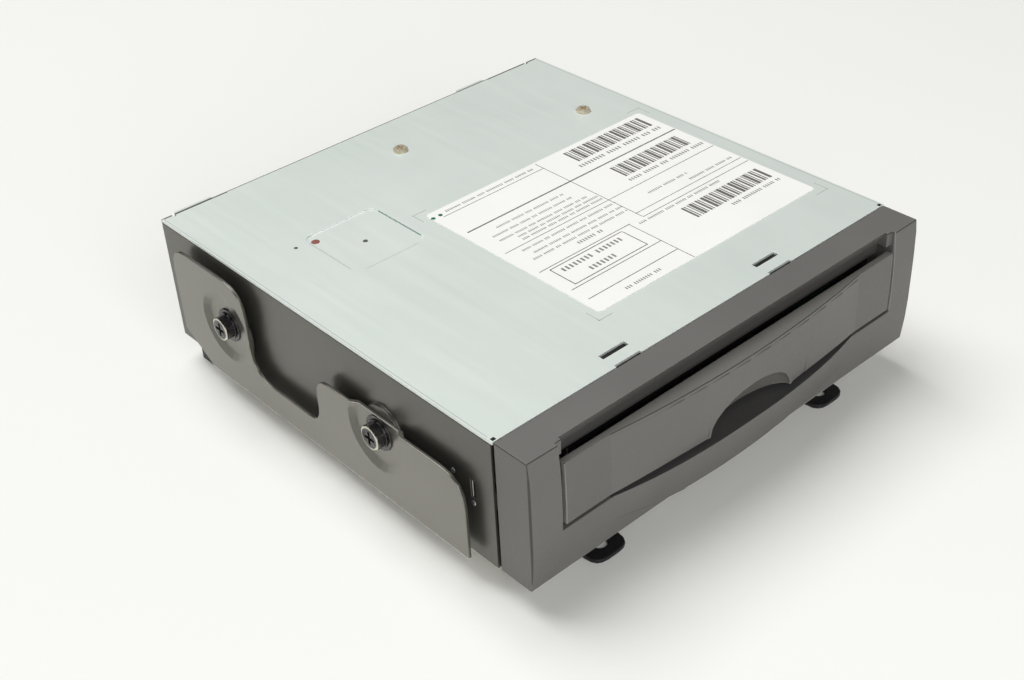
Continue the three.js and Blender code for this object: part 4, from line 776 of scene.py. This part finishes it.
# %% Sheet pieces
SHEET_ROLL = {"top_cover": 0.08, "chassis_tray": 0.2, "side_bracket_left": 0.25,
              "side_bracket_right": 0.25, "front_foot_bracket": 0.3, "rear_foot_bracket": 0.3}
SHEET_SHARP = 50
SHEET_SMOOTH = math.radians(25)
for name, roll in SHEET_ROLL.items():
    rounded_copy(name, roll, SHEET_SHARP, steps=4, smooth=SHEET_SMOOTH)
print("Sheet pieces:", len(SHEET_ROLL))

# %% [markdown]
# Each bracket screw is a turned hexagon: its outer corners carry a chamfer. Cutting it with a cone would
# be true to the lathe. At this size a bevel on the edges of the face is enough. They are found by their
# place, on the face and far from the screw's axis. The washers just lose their sharp edges.

# %% Bracket screws and washers
HEAD_FACE = 95.5
FACE_SLACK = 0.01
CHAMFER = 0.4
RIM_SEARCH = 3.5
HEAD_SMOOTH = math.radians(30)
WASHER_ROLL = 0.12
for side in ("left", "right"):
    for end, depth in (("front", SCREW_MIDDLE - SCREW_HALF), ("rear", SCREW_MIDDLE + SCREW_HALF)):
        tail = side + "_" + end
        name = "bracket_screw_" + tail
        screw = node_copy(name)
        axis = spot(0, depth, SCREW_HEIGHT)
        pick(screw, "EDGE", lambda point: abs(abs(point.x) - HEAD_FACE * MM) < FACE_SLACK * MM
             and math.hypot(point.y - axis.y, point.z - axis.z) > RIM_SEARCH * MM)
        bpy.ops.mesh.bevel(offset=CHAMFER * MM, segments=3, affect="EDGES")
        bpy.ops.object.mode_set(mode="OBJECT")
        bpy.ops.object.shade_smooth_by_angle(angle=HEAD_SMOOTH)
        finish_piece(screw, name + "_fine", nodes[name]["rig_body"], slot_of[name], [name])
        for kind in ("lock_washer_", "flat_washer_"):
            rounded_copy(kind + tail, WASHER_ROLL, SHEET_SHARP)
        print(tail, "screw faces:", len(screw.data.polygons))

# %% [markdown]
# The button's spring is pressed together when the button goes in: its turns close up against the
# small board behind it. A spring that stayed as it is would run into the button. Here the copy is only
# shade smooth and given a mesh of its own, riding on the spring node's body in its place.

# %% Eject button spring
spring = node_copy("eject_button_spring")
bpy.ops.object.shade_smooth_by_angle(angle=SMOOTH_ANGLE)
finish_piece(spring, "eject_button_spring_fine", nodes["eject_button_spring"]["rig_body"],
             slot_of["eject_button_spring"], ["eject_button_spring"])
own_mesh(spring)

# %% [markdown]
# ## Print on the label
# The rating label is a white film with dark print: strips of bars, rules around fields, and rows of
# small type. The print here is generic and says nothing. It could be a picture on the film. As thin
# plates in one mesh it stays sharp from any distance. A strip and the box are given by their four
# sides. A rule has its depth, its two ends and its thickness, and a column has its x in place of a depth.

# %% Bars and rules
LABEL_TOP = 48.45
INK = 0.04
BAR_STRIPS = ((39.3, 76.7, 96.0, 104.4), (43.1, 77.2, 76.0, 84.3), (39.5, 77.4, 38.7, 46.8))
BAR_WIDTHS = (0.9, 0.45, 0.45, 1.3, 0.45, 0.9, 0.45, 1.3, 0.9, 0.45)
BAR_GAPS = (0.5, 0.9, 0.45, 0.45, 0.9)
RULES = ((87.8, -21.1, 81.2, 0.6), (101.6, -20, 26.8, 0.25), (68.8, -21.3, 81.2, 0.25),
         (55.7, 26.8, 81.2, 0.25), (52.4, -21.2, 20.4, 0.3), (52.4, 26.9, 81.2, 0.25),
         (37.6, -21.1, 19.9, 0.3), (30.2, -21, 20.1, 0.3))
COLUMNS = ((27, 52.8, 106.1, 0.25), (20, 22.8, 52.3, 0.25))
BOX = (-18, 15, 39.1, 50.8)
BOX_LINE = 0.35
PLATE_FACES = 6


def ink_plate(left, right, front, rear):
    """Adds one printed plate to the mesh that is being edited, by its sides on the label."""
    place = spot((left + right) / 2, (front + rear) / 2, LABEL_TOP + INK / 2)
    bpy.ops.mesh.primitive_cube_add(size=MM, location=place,
                                    scale=(right - left, rear - front, INK))


def start_print(name):
    """An empty mesh object in edit mode at the origin."""
    bpy.ops.object.select_all(action="DESELECT")
    piece = bpy.data.objects.new(name, bpy.data.meshes.new(name))
    bpy.context.scene.collection.objects.link(piece)
    piece.select_set(True)
    bpy.context.view_layer.objects.active = piece
    bpy.ops.object.mode_set(mode="EDIT")
    return piece


label_print = start_print("label_print")
for left, right, front, rear in BAR_STRIPS:
    bar, count = left, 0
    while bar < right:
        wide = BAR_WIDTHS[count % len(BAR_WIDTHS)]
        ink_plate(bar, bar + wide, front, rear)
        bar += wide + BAR_GAPS[count % len(BAR_GAPS)]
        count += 1
for depth, left, right, thick in RULES:
    ink_plate(left, right, depth - thick / 2, depth + thick / 2)
for x, front, rear, thick in COLUMNS:
    ink_plate(x - thick / 2, x + thick / 2, front, rear)
left, right, front, rear = BOX
for depth in (front, rear):
    ink_plate(left, right, depth, depth + BOX_LINE)
for x in (left, right):
    ink_plate(x, x + BOX_LINE, front, rear)
bpy.ops.object.mode_set(mode="OBJECT")
finish_piece(label_print, "label_print", "housing", "label_ink")
print("Bars and rules:", len(label_print.data.polygons) // PLATE_FACES)

# %% [markdown]
# From the camera's distance small type reads as a row of short strokes with gaps between words, so each
# row is strokes of one height. A row has its depth, its two ends and its height. The lengths of the
# words repeat in a fixed order, and the depth of a row says where in that order it starts.

# %% Rows of small type
TYPE_ROWS = ((83.2, -12, 19, 1), (79.5, -17, 19, 1), (76.0, -17, 23, 1), (73.5, -11, 27, 1),
             (71.2, -11, 26, 1), (66.0, -16, 27, 1), (62.5, -14, 27, 1), (59.5, -17, 26, 1),
             (56.3, 0, 11, 1.5), (48, -15, 14, 2.2), (42.4, -8, 5, 2.2), (93, 37, 78, 1.8),
             (73.2, 42, 80, 1.6), (62.2, 40, 59, 1.1), (58.4, 57, 79, 1.1), (50.2, 23, 63, 1.1),
             (36, 54, 78.5, 1.4), (26, -8.6, 7, 1.3), (104, -17, 25, 1.1))
TYPE_PITCH_SHARE = 0.78
TYPE_STROKE_SHARE = 0.36
WORDS = (7, 4, 9, 5, 6, 3, 8)
label_type = start_print("label_type")
for depth, left, right, height in TYPE_ROWS:
    x, count, word = left, 0, int(depth) % len(WORDS)
    pitch = height * TYPE_PITCH_SHARE
    stroke = height * TYPE_STROKE_SHARE
    while x < right:
        ink_plate(x, x + stroke, depth - height / 2, depth + height / 2)
        count += 1
        x += pitch
        if count == WORDS[word % len(WORDS)]:
            x += pitch
            count = 0
            word += 1
bpy.ops.object.mode_set(mode="OBJECT")
finish_piece(label_type, "label_type", "housing", "type_ink")
print("Strokes of type:", len(label_type.data.polygons) // PLATE_FACES)

# %% [markdown]
# ## Small marks
# The cover carries a few drops of marking paint, dabbed on as a sign that a step of the work is done.
# A drop could be a flattened ball. Here it is a disc that is pulled up three times and drawn in a little
# more each time, which gives it a firm foot. The same dome, turned sideways, also serves for the side
# wall. Each drop has its place and its radius.

# %% Paint drops
COVER_TOP = 48.3
PAD_DEPTH = 0.4
DROP_HEIGHT = 0.12
DROP_SIDES = 28
DROP_STEPS = ((0.5, 0.97), (0.3, 0.85), (0.2, 0.6))
UPRIGHT = (0, 0, 0)
UP = Vector((0, 0, 1))
DROPS = {"drop_red": (-59.9, 121.3, COVER_TOP - PAD_DEPTH, 1.5),
         "drop_dark": (-47.8, 109.5, COVER_TOP - PAD_DEPTH, 0.9),
         "drop_grey": (-67.2, 122.3, COVER_TOP, 0.7), "drop_green_left": (-23.1, 103.4, LABEL_TOP, 0.8),
         "drop_green_right": (-19.9, 103.4, LABEL_TOP, 0.8)}
DROP_SLOTS = {"drop_red": "red_paint", "drop_dark": "dark_paint", "drop_grey": "dark_paint",
              "drop_green_left": "green_paint", "drop_green_right": "green_paint"}


def low_dome(name, place, radius, slot, outward=UP, turn=UPRIGHT, height=DROP_HEIGHT, sides=DROP_SIDES,
             steps=DROP_STEPS):
    """A low round dome on a surface. Each step is a share of its height and how far it draws in."""
    bpy.ops.object.select_all(action="DESELECT")
    bpy.ops.mesh.primitive_circle_add(vertices=sides, radius=radius * MM, fill_type="NGON",
                                      rotation=turn, location=place)
    piece = bpy.context.object
    bpy.ops.object.transform_apply(location=True, rotation=True, scale=False)
    bpy.ops.object.mode_set(mode="EDIT")
    for share, draw in steps:
        bpy.ops.mesh.extrude_region_move(
            TRANSFORM_OT_translate={"value": tuple(outward * (height * share * MM))})
        bpy.ops.transform.resize(value=tuple(1 if along else draw for along in outward))
    bpy.ops.mesh.select_all(action="SELECT")
    bpy.ops.mesh.normals_make_consistent(inside=False)
    bpy.ops.object.mode_set(mode="OBJECT")
    bpy.ops.object.shade_smooth_by_angle(angle=SMOOTH_ANGLE)
    return finish_piece(piece, name, "housing", slot)


for name, (x, depth, height, radius) in DROPS.items():
    low_dome(name, spot(x, depth, height), radius, DROP_SLOTS[name])
print("Drops:", len(DROPS))

# %% [markdown]
# The tray's side wall has two small pressed dimples near its front, one over the snap's slot and one
# under it. They catch the light as two bright points, and the lighter bright steel finish they wear in
# place of the tray's zinc adds a painted highlight. They are low domes on the wall, because a dent would
# have to be cut into the tray and would look the same from the camera.

# %% Wall dimples
WALL = 89
DIMPLES = {"wall_dimple_1": (17.8, 27.3), "wall_dimple_2": (9.2, 20.0)}
DIMPLE_RADIUS = 0.9
DIMPLE_LIFT = 0.35
DIMPLE_SIDES = 24
DIMPLE_STEPS = ((0.5, 0.9), (0.3, 0.75), (0.2, 0.5))
LEFT = Vector((-1, 0, 0))
TURNED_LEFT = (0, -math.pi / 2, 0)
# Painted highlight: the dimples wear bright steel, lighter than the tray's zinc.
for name, (depth, height) in DIMPLES.items():
    low_dome(name, spot(-WALL, depth, height), DIMPLE_RADIUS, "bright_steel", LEFT, TURNED_LEFT,
             DIMPLE_LIFT, DIMPLE_SIDES, DIMPLE_STEPS)
print("Dimples:", len(DIMPLES))

# %% [markdown]
# Scribed corners show where the label goes. Each is two short lines that meet a little way outside the
# label. They lie on the cover as plates as thin as the ink, because a scratch this fine casts no shadow.

# %% Corner marks
MARK_GAP = 3.1
MARK_ARM = 6
MARK_LINE = 0.3
LABEL_LEFT, LABEL_RIGHT = -23.8, 81.6
LABEL_FRONT, LABEL_REAR = 22.6, 107
corner_marks = start_print("label_corner_marks")
for x, side in ((LABEL_LEFT - MARK_GAP, 1), (LABEL_RIGHT + MARK_GAP, -1)):
    for depth, way in ((LABEL_FRONT - MARK_GAP, 1), (LABEL_REAR + MARK_GAP, -1)):
        for wide, long in ((MARK_ARM, MARK_LINE), (MARK_LINE, MARK_ARM)):
            place = spot(x + side * wide / 2, depth + way * long / 2, COVER_TOP + INK / 2)
            bpy.ops.mesh.primitive_cube_add(size=MM, location=place, scale=(wide, long, INK))
bpy.ops.object.mode_set(mode="OBJECT")
finish_piece(corner_marks, "label_corner_marks", "housing", "scribed_zinc")
print("Corner marks:", len(corner_marks.data.polygons) // (2 * PLATE_FACES))

# %% [markdown]
# ## Floor and light
# The object stands on white paper. It is one large square, since the photograph shows no edge or curve
# of it.

# %% Floor
PAPER_SIZE = 6
bpy.ops.object.select_all(action="DESELECT")
bpy.ops.mesh.primitive_plane_add(size=PAPER_SIZE, location=(0, 0, 0))
paper = bpy.context.object
paper.name = "paper"
print("The paper is", PAPER_SIZE, "m wide")

# %% [markdown]
# The paper keeps the object's shadow. For the camera alone it also shines by itself, a little near the
# object and fully far off, so the background comes out even and nearly white. Stronger lamps would
# whiten it too, but would bleach the object.

# %% Paper finish
PAPER_TINT = tint(246, 246, 242)
PAPER_ROUGHNESS = 0.9
PAPER_GLOW = 0.06
GLOW_TINT = tint(247, 247, 242)
GLOW_REACH = (0.5, 1.7)
paper_material, tree, shader = blank_material("paper")
shader.inputs["Base Color"].default_value = PAPER_TINT
shader.inputs["Roughness"].default_value = PAPER_ROUGHNESS
glow = tree.nodes.new("ShaderNodeEmission")
glow.inputs["Color"].default_value = GLOW_TINT
rays = tree.nodes.new("ShaderNodeLightPath")
seen = tree.nodes.new("ShaderNodeMath")
seen.operation = "MULTIPLY"
paper_x, paper_y = axes_of(tree)[:2]
away = sum_of(tree, "SQRT", sum_of(tree, "ADD", sum_of(tree, "MULTIPLY", paper_x, paper_x),
                                   sum_of(tree, "MULTIPLY", paper_y, paper_y)))
tree.links.new(remap(tree, away, PAPER_GLOW, 1, *GLOW_REACH), seen.inputs[1])
tree.links.new(rays.outputs["Is Camera Ray"], seen.inputs[0])
mixed = tree.nodes.new("ShaderNodeMixShader")
tree.links.new(seen.outputs["Value"], mixed.inputs["Fac"])
tree.links.new(shader.outputs["BSDF"], mixed.inputs[1])
tree.links.new(glow.outputs["Emission"], mixed.inputs[2])
paper_output = next(node for node in tree.nodes if node.type == "OUTPUT_MATERIAL")
tree.links.new(mixed.outputs["Shader"], paper_output.inputs["Surface"])
paper.data.materials.append(paper_material)
print("The paper shines fully from", GLOW_REACH[1], "m off")

# %% [markdown]
# A white room lights the object from all sides, and the metal mirrors it. It grows a little darker
# towards its ceiling. The camera sees it as the bright backdrop, which would be too strong as a light.

# %% Room
ROOM_LIGHT = 0.16
CEILING_LIGHT = 0.1
CEILING_BLEND = (0.35, 0.85)
BACKDROP = 0.92
WHITE = (1, 1, 1, 1)
world = bpy.data.worlds.new("studio")
bpy.context.scene.world = world
world.use_nodes = True
tree = world.node_tree
background = tree.nodes["Background"]
background.inputs["Color"].default_value = WHITE
direction = tree.nodes.new("ShaderNodeTexCoord")
parts = tree.nodes.new("ShaderNodeSeparateXYZ")
tree.links.new(direction.outputs["Generated"], parts.inputs["Vector"])
room = remap(tree, parts.outputs["Z"], ROOM_LIGHT, CEILING_LIGHT, *CEILING_BLEND)
rays = tree.nodes.new("ShaderNodeLightPath")
tree.links.new(sum_of(tree, "MAXIMUM", room,
                      sum_of(tree, "MULTIPLY", rays.outputs["Is Camera Ray"], BACKDROP)),
               background.inputs["Strength"])
print("The room's light goes from", ROOM_LIGHT, "to", CEILING_LIGHT)

# %% [markdown]
# The photograph's main light is a large soft box, high up behind the object and a little to the left, so
# the shadow falls in front and to the right. A smaller and much weaker box, behind the camera and above
# it, fills the front. Softness comes from size, so both are area lamps.

# %% Lamps
TOP_BOX = {"place": (-0.3, 1.0, 2.6), "size": 2.0, "power": 67}
CAMERA_BOX = {"place": (-0.5, -1.15, 0.75), "size": 0.9, "power": 9.5}


def soft_box(name, place, size, power):
    """A square soft box that faces the object."""
    data = bpy.data.lights.new(name, "AREA")
    data.size = size
    data.energy = power
    lamp = bpy.data.objects.new(name, data)
    bpy.context.scene.collection.objects.link(lamp)
    lamp.location = place
    lamp.rotation_euler = (-Vector(place)).to_track_quat("-Z", "Y").to_euler()


soft_box("top_box", **TOP_BOX)
soft_box("camera_box", **CAMERA_BOX)
